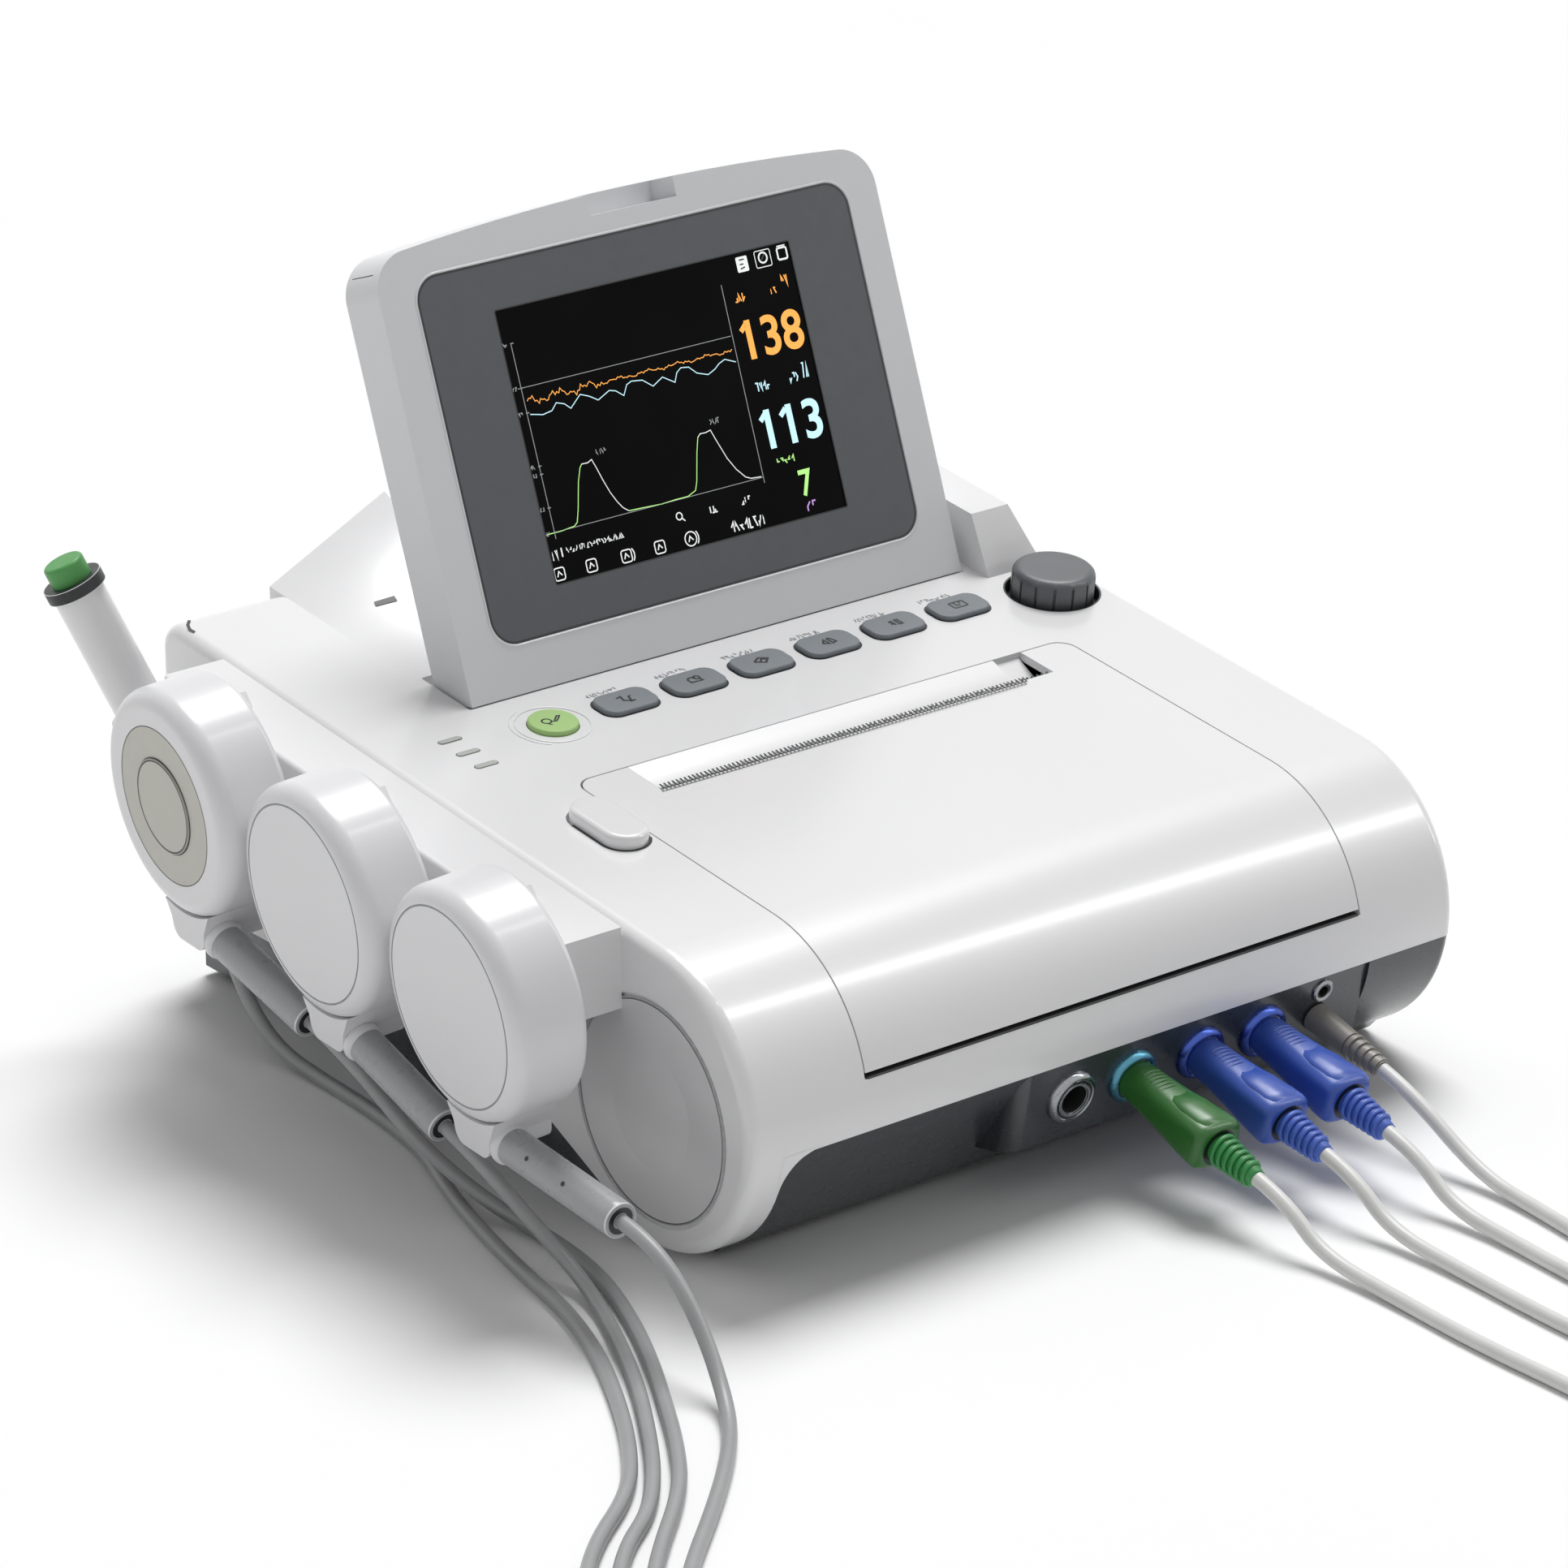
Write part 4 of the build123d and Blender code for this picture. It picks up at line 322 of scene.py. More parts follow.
# ------- cords
# the same points as the solids' routes, from the transducer or marker and to the plug;
# a point without a height lies on the floor
cord_routes = {
    "toco_cord": ([
        (-147.7, 9.3, 45), (-147.6, -2.4, 42.1), (-145, -17, 33.5), (-140.5, -30, 21),
        (-134.5, -44.5, 10.5), (-129, -61, 3.5), (-127, -82), (-130, -107), (-139, -133),
        (-150.5, -158), (-163, -180.5), (-176, -203), (-191, -224.5), (-216.5, -248),
        (-232, -265), (-240, -285.5), (-235.5, -306), (-217.5, -323.5), (-190.5, -341),
        (-157.6, -368.7), (-125.2, -392),
    ], [
        (-119.5, -432.5, 15.75), (-126.7, -442.1, 14.5), (-131, -456.5, 9.5), (-127, -472, 4),
        (-115, -484.5), (-97.5, -496), (-76, -505.5), (-52, -506), (-32, -496), (-28, -463.5),
        (-9, -440), (13, -414.5), (33.5, -392), (48.5, -370.5), (63.5, -336), (62, -297),
        (63.5, -258), (62.5, -229, 4.5), (62.6, -213.6, 15.3), (62.6, -200.9, 18.2),
    ]),
    "ultrasound_cord_1": ([
        (-147.7, -57.7, 35.5), (-147.3, -68, 32.4), (-144.5, -81, 24), (-140.5, -94, 13.5),
        (-138.5, -108, 5.5), (-142.5, -124), (-152.5, -147), (-163.5, -169), (-176, -190),
        (-189.5, -210.5), (-205, -229), (-223, -241.5), (-240.5, -261), (-250, -285.5),
        (-245, -309), (-226, -328.5), (-206.7, -344.1), (-186.4, -357),
    ], [
        (-180.7, -397.6, 15.75), (-187.9, -407.1, 14.5), (-192.5, -421.5, 9.5),
        (-187.5, -436.5, 4), (-175, -450), (-153.5, -464.5), (-127.5, -486), (-100, -504.5),
        (-73.5, -516), (-48, -515.5), (-26.5, -505), (-21.5, -472.5), (-3.5, -448.5),
        (16, -425.5), (40.5, -399), (62, -372.5), (75.5, -352), (88.5, -325), (86, -290),
        (88, -254), (87, -229, 4.5), (87.2, -213.6, 15.3), (87.2, -200.9, 18.2),
    ]),
    "ultrasound_cord_2": ([
        (-147.7, -141.1, 37.1), (-147.7, -152.9, 36), (-147.5, -167, 28.5), (-147.5, -179, 16),
        (-151, -191, 6), (-158, -203.5), (-171, -219), (-190.5, -238), (-213, -258),
        (-225.5, -271), (-230.5, -287.5), (-224.5, -304.5), (-206.5, -320.5), (-180.5, -337.5),
        (-149.5, -363), (-115.5, -387.5), (-84.5, -412.7), (-64, -426.9),
    ], [
        (-64, -426.9, 15.75), (-52, -436, 14.5), (-37, -439.5, 9), (-23.5, -435, 3.5),
        (-11, -421.5), (-2, -399.5), (18.5, -380.5), (34.5, -359.5), (37.5, -336), (35.5, -296),
        (37, -258), (36, -229, 4.5), (36, -213.6, 15.3), (36, -200.9, 18.2),
    ]),
    "marker_cord": ([
        (-115.8, 118.5, 71.7), (-113.2, 116.7, 64.9), (-112.5, 113.5, 54), (-114, 108, 41),
        (-116, 99, 27), (-117.5, 86, 14), (-117.5, 70, 5), (-116, 50), (-117, 20), (-121.5, -10),
        (-132, -37), (-139.5, -63), (-146.5, -93), (-151, -120), (-160, -146), (-171.5, -170),
        (-185.5, -194.5), (-202.5, -217), (-228.5, -235), (-248, -256.5), (-266, -280.5),
        (-281.3, -305.3), (-299.5, -327.8),
    ], [
        (-293.9, -368.4, 15.75), (-284.6, -376, 14.5), (-276, -386, 9), (-265, -394.5, 3.5),
        (-249.5, -404), (-222, -425.5), (-189, -448.5), (-156.5, -475), (-125, -496.5),
        (-100, -517.5), (-71.5, -526.5), (-45.5, -525), (-21.5, -513), (-15.5, -481), (1.5, -456),
        (26, -429.5), (52, -399.5), (75.5, -371), (91, -342), (101, -309), (104.5, -277),
        (108.5, -245), (109.5, -218, 3.5), (109, -187.7, 19.7), (109, -174.9, 22.7),
    ]),
}
# where each coil lies, the angle it starts at, which way it winds and how many turns it has
coil_places = {
    "toco_cord": ((-142.6, -415.1), 53, -1, 10.25),
    "ultrasound_cord_1": ((-203.8, -380.1), 53, -1, 10.25),
    "ultrasound_cord_2": ((-81.4, -450), 53, -1, 11),
    "marker_cord": ((-276.4, -345.3), 143, 1, 10.25),
}
cord_diameter = 4.5
coil_radii = (29, 24.5, 20)
coil_layers = 4
coil_points = 24


def coil_track():
    """(turn, radius, height) along a coil's layers, wound in, out, in and out again.

    A layer's shifts lie just ahead of the ramp that led into it, so that no turn meets another.
    """
    track = []
    shift = 0.125
    turn = 0
    for layer in range(coil_layers):
        radii = coil_radii if layer % 2 == 0 else coil_radii[::-1]
        height = cord_diameter * (layer + 0.5)
        for i, radius in enumerate(radii):
            track.append((turn, radius, height))
            turn += 1 - shift
            if i == len(radii) - 1 and layer < coil_layers - 1:
                turn -= 2 * shift
            track.append((turn, radius, height))
            turn += shift
    return track


def along_track(track, turn):
    """Radius and height of the coil at a turn."""
    for (t0, r0, z0), (t1, r1, z1) in zip(track, track[1:]):
        if turn <= t1:
            share = (turn - t0) / (t1 - t0)
            return r0 + (r1 - r0) * share, z0 + (z1 - z0) * share
    return track[-1][1:]


def coil_turns(centre, start, way, turns):
    """The coil's points, counted in turns from its outer lower start to its outer upper end."""
    track = coil_track()
    points = []
    steps = round(turns * coil_points)
    for i in range(1, steps):
        radius, height = along_track(track, i / steps * track[-1][0])
        angle = math.radians(start) + way * 2 * math.pi * i / coil_points
        x = centre[0] + radius * math.cos(angle)
        y = centre[1] + radius * math.sin(angle)
        points.append((x, y, height))
    return points


def spline_curve(name, points, diameter):
    """A smooth round tube along the points, as a NURBS curve."""
    data = bpy.data.curves.new(name, "CURVE")
    data.dimensions = "3D"
    data.resolution_u = 6
    data.bevel_depth = diameter / 2
    data.bevel_resolution = 5
    data.use_fill_caps = True
    spline = data.splines.new("NURBS")
    spline.points.add(len(points) - 1)
    for point, place in zip(spline.points, points):
        point.co = (*place, 1)
    spline.order_u = 3
    spline.use_endpoint_u = True
    return added(name, data)


def line_length(obj):
    """Length of a curve's own line."""
    bare = added("bare_line", obj.data.copy())
    bare.data.bevel_depth = 0
    bpy.context.view_layer.update()
    graph = bpy.context.evaluated_depsgraph_get()
    mesh = bpy.data.meshes.new_from_object(bare.evaluated_get(graph))
    places = [v.co.copy() for v in mesh.vertices]
    bpy.data.objects.remove(bare)
    return sum((b - a).length for a, b in zip(places, places[1:]))


def make_cord(name):
    first, last = cord_routes[name]
    points = first + coil_turns(*coil_places[name]) + last
    points = [tuple(c * MM for c in (*p, cord_diameter / 2)[:3]) for p in points]
    cord = spline_curve(name + "_line", points, cord_diameter * MM)
    dress(cord, SHEATH)
    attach(cord, "base")
    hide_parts(name, name + "_coil")
    return cord, points[0], line_length(cord)


cords = {name: make_cord(name) for name in cord_routes}


# ------- making pieces
MILLIMETRES = Matrix.Scale(MM, 4)


def frame_of(origin, right, up):
    """The matrix of a plane given in millimetres: x to the right, y up, z out of it."""
    x = Vector(right).normalized()
    z = x.cross(Vector(up)).normalized()
    matrix = Matrix((x, z.cross(x), z)).transposed().to_4x4()
    matrix.translation = Vector(origin) * MM
    return matrix @ MILLIMETRES


def piece(name, shapes, material, body, place=MILLIMETRES, flat=False, angle=35):
    """One mesh piece made of shapes, each (points, faces) in the millimetres of a plane."""
    points, faces = [], []
    for shape_points, shape_faces in shapes:
        faces += [[i + len(points) for i in face] for face in shape_faces]
        points += shape_points
    mesh = bpy.data.meshes.new(name)
    mesh.from_pydata([place @ Vector(point) for point in points], [], faces)
    if not flat:
        tidy = bmesh.new()
        tidy.from_mesh(mesh)
        bmesh.ops.remove_doubles(tidy, verts=tidy.verts, dist=1e-6)
        bmesh.ops.recalc_face_normals(tidy, faces=tidy.faces)
        tidy.to_mesh(mesh)
        tidy.free()
    mesh.shade_smooth()
    mesh.set_sharp_from_angle(angle=math.radians(angle))
    obj = added(name, mesh)
    dress(obj, material)
    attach(obj, body)
    return obj


def inked_or_shaded(name, shapes, place, body="base"):
    """A flat piece in black: printed ink, or painted shade in a gap, groove or hole."""
    piece(name, shapes, BLACK_INK_AND_SHADE, body, place, flat=True)


def polygon(outline, z=0):
    """A flat face inside an outline."""
    return [(x, y, z) for x, y in outline], [list(range(len(outline)))]


def sides(line, closed):
    """At each point of a flat line: its left-hand direction, lengthened at corners."""
    found = []
    for i, (x, y) in enumerate(line):
        ways = []
        if i or closed:
            ways.append(Vector((x - line[i - 1][0], y - line[i - 1][1])).normalized())
        if i < len(line) - 1 or closed:
            after = line[(i + 1) % len(line)]
            ways.append(Vector((after[0] - x, after[1] - y)).normalized())
        way = sum(ways, Vector((0, 0))) / len(ways)
        reach = 1 / max(way.length, 0.4)
        way.normalize()
        found.append((-way.y * reach, way.x * reach))
    return found


def stroke(line, width, z=0, closed=False):
    """A flat printed line of even width."""
    points = []
    for (x, y), (nx, ny) in zip(line, sides(line, closed)):
        points += [(x + nx * half, y + ny * half, z) for half in (width / 2, -width / 2)]
    count = len(points)
    runs = len(line) if closed else len(line) - 1
    faces = [[(2 * i + k) % count for k in (0, 1, 3, 2)] for i in range(runs)]
    return points, faces


def strokes(width, *lines, z=0, closed=False):
    """Printed lines of one width."""
    return [stroke(line, width, z, closed) for line in lines]


def around(steps):
    """The angles of a full turn in even steps."""
    return [2 * math.pi * k / steps for k in range(steps)]


def bead(line, radius, z=0, closed=False):
    """A round bead laid along a flat line."""
    section = [(radius * math.cos(t), radius * math.sin(t)) for t in around(8)]
    rings = [[(x + nx * out, y + ny * out, z + up) for out, up in section]
             for (x, y), (nx, ny) in zip(line, sides(line, closed))]
    return loft(rings + rings[:1], caps=False) if closed else loft(rings)


def loft(rings, caps=True):
    """A skin over rings of equal numbers of points, with its two ends closed."""
    count = len(rings[0])
    points = [point for ring in rings for point in ring]
    faces = []
    for a in range(len(rings) - 1):
        for i in range(count):
            j = (i + 1) % count
            faces.append([a * count + i, a * count + j, (a + 1) * count + j, (a + 1) * count + i])
    if caps:
        faces += [list(range(count))[::-1], list(range(len(points) - count, len(points)))]
    return points, faces


def lathe(profile, steps=64):
    """A turned shape from (radius, height) points around the z axis."""
    turns = around(steps)
    rings = [[(r * math.cos(t), r * math.sin(t), height) for t in turns] for r, height in profile]
    return loft(rings, caps=False)


def arc(cx, cy, radius, start, end, count=12):
    """Points on an arc, between two angles in degrees."""
    turns = [math.radians(start + (end - start) * i / count) for i in range(count + 1)]
    return [(cx + radius * math.cos(t), cy + radius * math.sin(t)) for t in turns]


def circle(cx, cy, radius, count=24):
    """A circle's outline."""
    return arc(cx, cy, radius, 0, 360, count)[:-1]


def band(radius, width, z=0, count=72):
    """A flat ring around the middle of a plane."""
    return stroke(circle(0, 0, radius, count), width, z, closed=True)


def rounded(width, height, radius, cx=0, cy=0, count=6):
    """A rectangle's outline with round corners."""
    outline = []
    for i, (sx, sy) in enumerate(((1, 1), (-1, 1), (-1, -1), (1, -1))):
        corner = (cx + sx * (width / 2 - radius), cy + sy * (height / 2 - radius))
        outline += arc(*corner, radius, 90 * i, 90 * i + 90, count)
    return outline


def numerals(text, height, width, x, y, z):
    """Plain upright numerals, width across the whole, centred on (x, y)."""
    data = bpy.data.curves.new("numerals", "FONT")
    data.body = text
    data.offset = 0.018
    data.resolution_u = 6
    obj = bpy.data.objects.new("numerals", data)
    mesh = bpy.data.meshes.new_from_object(obj)
    places = [v.co.copy() for v in mesh.vertices]
    low = Vector((min(p.x for p in places), min(p.y for p in places)))
    high = Vector((max(p.x for p in places), max(p.y for p in places)))
    middle, size = (low + high) / 2, high - low
    points = [(x + (p.x - middle.x) * width / size.x, y + (p.y - middle.y) * height / size.y, z)
              for p in places]
    faces = [list(face.vertices) for face in mesh.polygons]
    bpy.data.objects.remove(obj)
    return points, faces


def small_marks(x, y, length, height, z, width, pitch, seed):
    """A row of short strokes that stand for lettering too small to read."""
    chance = random.Random(seed)
    shapes = []
    low, high = y - height / 2, y + height / 2
    for i in range(max(int(length / pitch), 1)):
        left = x - length / 2 + i * pitch
        right = left + pitch * 0.55
        corners = [(left, low), (left, high), (right, high), (right, low), (left, y), (right, y)]
        shapes.append(stroke(chance.sample(corners, 3), width, z))
    return shapes


# ------- display
tilt = math.radians(20.6)
display_frame = frame_of((0, 41.9, 112.49), (1, 0, 0), (0, math.sin(tilt), math.cos(tilt)))
bezel_middle = (31.7, 72.25)
glass = -0.25
curve_width = 0.28

WHITE_LIGHT = glowing("screen_white", "d9dcdc", 0.75)
GREY_LIGHT = glowing("screen_grey", "8b8e90", 0.6)
ORANGE_LIGHT = glowing("screen_orange", "f0a043", 0.85)
BLUE_LIGHT = glowing("screen_blue", "b9e0ea", 0.8)
GREEN_LIGHT = glowing("screen_green", "a5df7c", 0.8)
VIOLET_LIGHT = glowing("screen_violet", "b58ad0", 0.7)
# black for print, and for painted shade in gaps, grooves and holes
BLACK_INK_AND_SHADE = ink("black_ink_and_painted_shade", "15181b", 0.35)
GREY_INK = ink("grey_ink", "7d8285")


def trace(start, end, level, sway, step):
    """A wandering trace from start to end around a level."""
    line = []
    x = start
    while x <= end:
        wander = math.sin(0.55 * x) + 0.7 * math.sin(1.7 * x + 1) + 0.6 * math.sin(4.1 * x)
        line.append((x, level + sway * wander * (1 if x < 8 else 0.4)))
        x += step
    return line


def flag(x, y):
    """The slanting stroke at the head of a numeral one, whose stem's left edge is at x."""
    return stroke([(x + 0.4, y - 0.9), (x - 2, y - 3)], 1.7, glass)


def drawn(width, *lines, closed=False):
    """Lines of one width on the display's glass."""
    return strokes(width, *lines, z=glass, closed=closed)


def lettering(*rows):
    """Rows of small marks on the glass: x, y, length, height, line width, pitch and seed."""
    shapes = []
    for x, y, length, height, *rest in rows:
        shapes += small_marks(x, y, length, height, glass, *rest)
    return shapes


def screen_piece(name, shapes, material):
    """One colour of the display's content."""
    piece(name, shapes, material, "display", display_frame, flat=True)


def screen_axes():
    """The grey axes, their scales and the captions between the two charts."""
    grey = drawn(0.24, [(-21.2, 103.5), (-20.9, 43)], [(59.8, 105.7), (59.5, 43.2)])
    grey += drawn(0.2, [(-22.4, 89.7), (59.2, 89.7)], [(-21.5, 45), (59.2, 45)])
    for height in (103.5, 89.7, 82, 65.5, 63, 52.6, 45):
        grey += lettering((-22.9, height, 2.6, 1.1, 0.3, 0.9, int(height)))
        grey += drawn(0.3, [(-21.4, height), (-20.2, height)])
    grey += lettering((2.4, 65.4, 4, 1.6, 0.3, 1, 21), (46.6, 65.6, 4.6, 1.6, 0.3, 1, 22))
    screen_piece("screen_axes", grey, GREY_LIGHT)


def screen_readings():
    """The two traces and the lower chart's rises, each with its reading."""
    orange = drawn(0.26, trace(-20, 58.8, 85.4, 0.85, 0.7))
    orange += [numerals("138", 12.6, 21.6, 75.8, 87.2, glass), flag(65.3, 93.2)]
    orange += lettering((66.4, 100.6, 5.2, 2.4, 0.45, 1.5, 31),
                        (79.5, 100.2, 3.2, 1.8, 0.4, 1.2, 32),
                        (84, 102.4, 2.6, 3.6, 0.45, 1.3, 33))
    screen_piece("screen_orange", orange, ORANGE_LIGHT)
    blue = drawn(curve_width, [
        (-20, 81.4), (-15.5, 80.4), (-12, 80.9), (-9.8, 82.9), (-7, 82), (-5, 80.2), (-0.6, 83.6),
        (2.5, 82.4), (5.5, 80.6), (10.2, 82.6), (12.5, 82), (15.1, 80), (17, 83), (18.9, 83.7),
        (23, 83.2), (26.5, 80.6), (30.6, 82.6), (34.8, 80.1), (36.2, 82.8), (38.1, 84), (41, 83.6),
        (43.6, 81.2), (47.6, 79.9), (50.5, 81), (52.6, 82.4), (55, 83.2), (58.9, 81.6),
    ])
    blue += [numerals("113", 12.6, 21.4, 75.5, 58.9, glass), flag(65.1, 64.9), flag(73, 64.9)]
    blue += lettering((67.2, 72.3, 6, 2.6, 0.45, 1.5, 41), (79.5, 72.6, 3.6, 2.8, 0.45, 1.2, 42),
                      (84.2, 74, 2.4, 4.6, 0.45, 1.2, 43))
    screen_piece("screen_blue", blue, BLUE_LIGHT)
    rises = drawn(
        curve_width,
        [(-23.6, 44.9), (-18, 44.9), (-13.3, 45.3), (-12, 46.2), (-10.6, 50), (-8.3, 58),
         (-6.6, 62), (-5.7, 63)],
        [(7.5, 45.6), (12, 45.4), (20, 45), (25, 45.2), (30.2, 45.2), (33.4, 46.4), (34.6, 49),
         (37, 57.5), (38.6, 62)],
    )
    seven = [numerals("7", 8.4, 4.9, 75.1, 40, glass)]
    unit = lettering((69.6, 48.4, 7, 2, 0.4, 1.4, 51))
    screen_piece("screen_green", rises + seven + unit, GREEN_LIGHT)


def screen_bars():
    """The lower chart's falls, and the status signs above and below the charts."""
    white = drawn(
        curve_width,
        [(-5.7, 63), (-3.4, 62.9), (-1.8, 63.6), (-0.8, 61), (0.8, 56.2), (2.2, 52.6), (3.9, 49.4),
         (5.6, 47), (7.5, 45.6)],
        [(38.6, 62), (39.8, 62.9), (41.8, 62.8), (43.8, 63.2), (45, 60), (47.7, 53.4),
         (50.2, 49.4), (53, 46.4), (55, 45.6), (58.8, 45.3)],
    )
    white += lettering(
        (-7, 38.8, 22, 1.5, 0.32, 1.1, 61), (-22.2, 38.2, 2.4, 3, 0.4, 1.1, 62),
        (38.8, 39.4, 4.6, 2, 0.42, 1.3, 63), (52, 39.5, 4.8, 2, 0.42, 1.3, 64),
        (51, 32.4, 15, 3, 0.5, 1.8, 65),
    )
    white += drawn(0.5, [(-19.9, 37.2), (-19.9, 40)])
    white += drawn(0.4, circle(25.3, 40, 1.1), closed=True)
    for x in (-22.4, -10.3, 3, 15.8, 27.7):
        outline = rounded(3.8, 3.8, 0.8, x, 32.4, 3) if x < 20 else circle(x, 32.4, 2.2)
        white += drawn(0.4, outline, closed=True)
        white += drawn(0.4, [(x - 0.9, 31.6), (x - 0.2, 33.2), (x + 0.9, 31.9)])
    white += drawn(0.4, arc(27.7, 32.4, 3, -40, 40, 6), arc(3, 32.4, 3, -40, 40, 6),
                   [(26.2, 39.2), (27.2, 38.2)], [(83.6, 113.2), (86.8, 113.2)])
    white.append(polygon(rounded(4.4, 4.8, 0.4, 69.4, 110.4, 2), glass))
    white += drawn(0.28, rounded(6, 5.2, 0.5, 77.6, 110.6, 2), closed=True)
    white += drawn(0.55, circle(77.6, 110.9, 1.6), closed=True)
    white += drawn(0.6, rounded(3.6, 3.6, 0.6, 85.2, 110.8, 3), closed=True)
    screen_piece("screen_white", white, WHITE_LIGHT)
    above = glass + 0.03
    cuts = strokes(0.45, [(68.4, 111.8), (70.4, 111.8)], [(68.4, 110.4), (69.8, 110.4)],
                   [(68.4, 109), (70.2, 109.4)], z=above)
    cuts += strokes(0.5, [(76.9, 110.2), (78.2, 111.8)], z=above)
    screen_piece("screen_cuts", cuts, BLACK_INK_AND_SHADE)
    screen_piece("screen_violet", lettering((76.3, 32.6, 5.4, 2.8, 0.5, 2.2, 71)), VIOLET_LIGHT)


def bezel_edges():
    """Painted shade in the gap round the bezel, the lit lip outside it, and the screen's thin edge.
    """
    gap = rounded(164.5, 112.9, 8.1, *bezel_middle, count=10)
    # painted shade in the gap round the bezel
    inked_or_shaded("bezel_gap", strokes(0.75, gap, z=0.05, closed=True), display_frame, "display")
    lip = bead(rounded(166.2, 114.6, 8.9, *bezel_middle, count=10), 0.42, -0.12, closed=True)
    piece("bezel_lip", [lip], DISPLAY, "display", display_frame)
    edge = rounded(113.1, 84.9, 0.6, 31.95, 71.85, count=2)
    inked_or_shaded("screen_edge", strokes(0.4, edge, z=0.04, closed=True), display_frame, "display")


screen_axes()
screen_readings()
screen_bars()
bezel_edges()


# ------- deck
deck_height, deck_rise = 108.0847, 0.105104     # at y = 0, and for each millimetre back
deck_up, deck_back = 0.994522, 0.104528         # the deck's normal
keys_left, key_pitch, key_y, caption_y = -22, 26, 21.6, 31.2
key_top = 1.65
start_x, start_y = -49.4, 21.3
lights_x, lights_y, light_pitch = -82, 19.5, 9.2

HOUSING_TRIM = moulded("housing_trim", "e9e9ea", 0.3, 0.002, 0.02)
# painted shade for the indicator slots
SLOT_SHADE = ink("painted_slot_shade", "4c4f49")
# painted shade: the dark inside the knob's well, the slot under the door and the sockets' bores
WELL_SHADE = moulded("painted_well_shade", "131415", 0.6, 0.01, 0.2)


def deck_z(y):
    """Height of the deck's surface at a distance back, in millimetres."""
    return deck_height + deck_rise * y


def deck_frame(x, y, lift=0):
    """A plane on the deck at (x, y), raised along its normal."""
    origin = (x, y - lift * deck_back, deck_z(y) + lift * deck_up)
    return frame_of(origin, (1, 0, 0), (0, deck_up, deck_back))


def key_signs():
    """A generic sign for each of the six keys."""
    return [
        strokes(0.72, [(0.2, -2), (2.4, -1.8)],
                [(-2.4, 1.6), (-0.6, 2), (-1.2, -0.6), (1, -1.6), (1.6, 0.8), (2.6, 1.4)]),
        strokes(0.72, arc(-0.6, 0, 1.5, 20, 200, 8) + [(-2, -1.4), (0.6, -1.4)],
                [(0.8, -1.6), (2.2, -1.4), (2, 0)])
        + strokes(0.72, circle(1.4, 0.8, 1, 12), closed=True),
        strokes(0.75, [(-2.8, 0), (0, 1.9), (2.6, 0.4), (0.4, -1.8), (-2.8, 0)],
                [(-0.8, -0.6), (0.4, 0.8), (1.6, 0)]),
        strokes(0.72, [(-2.4, -0.6), (-0.8, 1.4), (-0.4, -1.4), (-2.4, -0.6)],
                [(0.6, 1.8), (0.8, -1.6), (2.4, -1), (1.6, 1.6), (0.6, 1.8)]),
        strokes(0.72, arc(-2, 0, 1.2, -60, 60, 6))
        + strokes(0.8, [(-0.4, 1.6), (-0.2, -1.6)],
                  [(1.2, 1.8), (1.2, -1.6), (2.4, -1.6), (2.2, 1.8)]),
        strokes(0.72, [(-1, 1.6), (-0.8, -0.4), (0.6, -0.4)], [(1, 1.6), (1, 0.4)])
        + strokes(0.72, rounded(5.2, 3.6, 0.5, 0, 0, 2), closed=True),
    ]


def key_marks():
    """The signs on the six keys, and a row of small printed marks behind each."""
    for i, sign in enumerate(key_signs()):
        x = keys_left + key_pitch * i
        top = deck_frame(x, key_y, key_top)
        inked_or_shaded(f"key_sign_{i + 1}", sign, top, f"key_{i + 1}")
        marks = small_marks(-1.8, caption_y - key_y, 12, 1.9, 0, 0.38, 1.2, 80 + i)
        place = deck_frame(x, key_y, 0.06)
        piece(f"key_caption_{i + 1}", marks, GREY_INK, "base", place, flat=True)


def start_key_ring():
    """The start key's sign, and the low double ring pressed round it."""
    sign = strokes(0.55, circle(-2.2, 0.4, 1.5, 14), closed=True)
    sign += strokes(0.55, [(-1, -0.6), (0.6, -0.9), (2, 0.2), (3.4, 1.6), (2.6, 1.9),
                           (1.4, 0.8), (0.2, -0.4)])
    sign += strokes(0.5, [(-2.8, -1.4), (-1.8, -2.2)])
    inked_or_shaded("start_sign", sign, deck_frame(start_x, start_y, key_top), "start_key")
    ring = [bead(circle(0, 0, 11.6, 64), 0.34, closed=True),
            bead(arc(0, 0, 13.2, 112, 232, 40), 0.3)]
    place = deck_frame(start_x, start_y, 0.02)
    piece("start_ring", ring, HOUSING_TRIM, "base", place)


def light_slots():
    """Painted shade in each of the three indicator slots: round its edge, and along its upper side.
    """
    shapes = []
    for y in (light_pitch, 0, -light_pitch):
        shapes += strokes(0.42, rounded(8, 2.2, 1.09, 0, y), closed=True)
        shapes += strokes(0.5, [(-3, y + 0.75), (3, y + 0.75)])
    place = deck_frame(lights_x, lights_y, 0.07)
    piece("light_slot_shade", shapes, SLOT_SHADE, "base", place, flat=True)


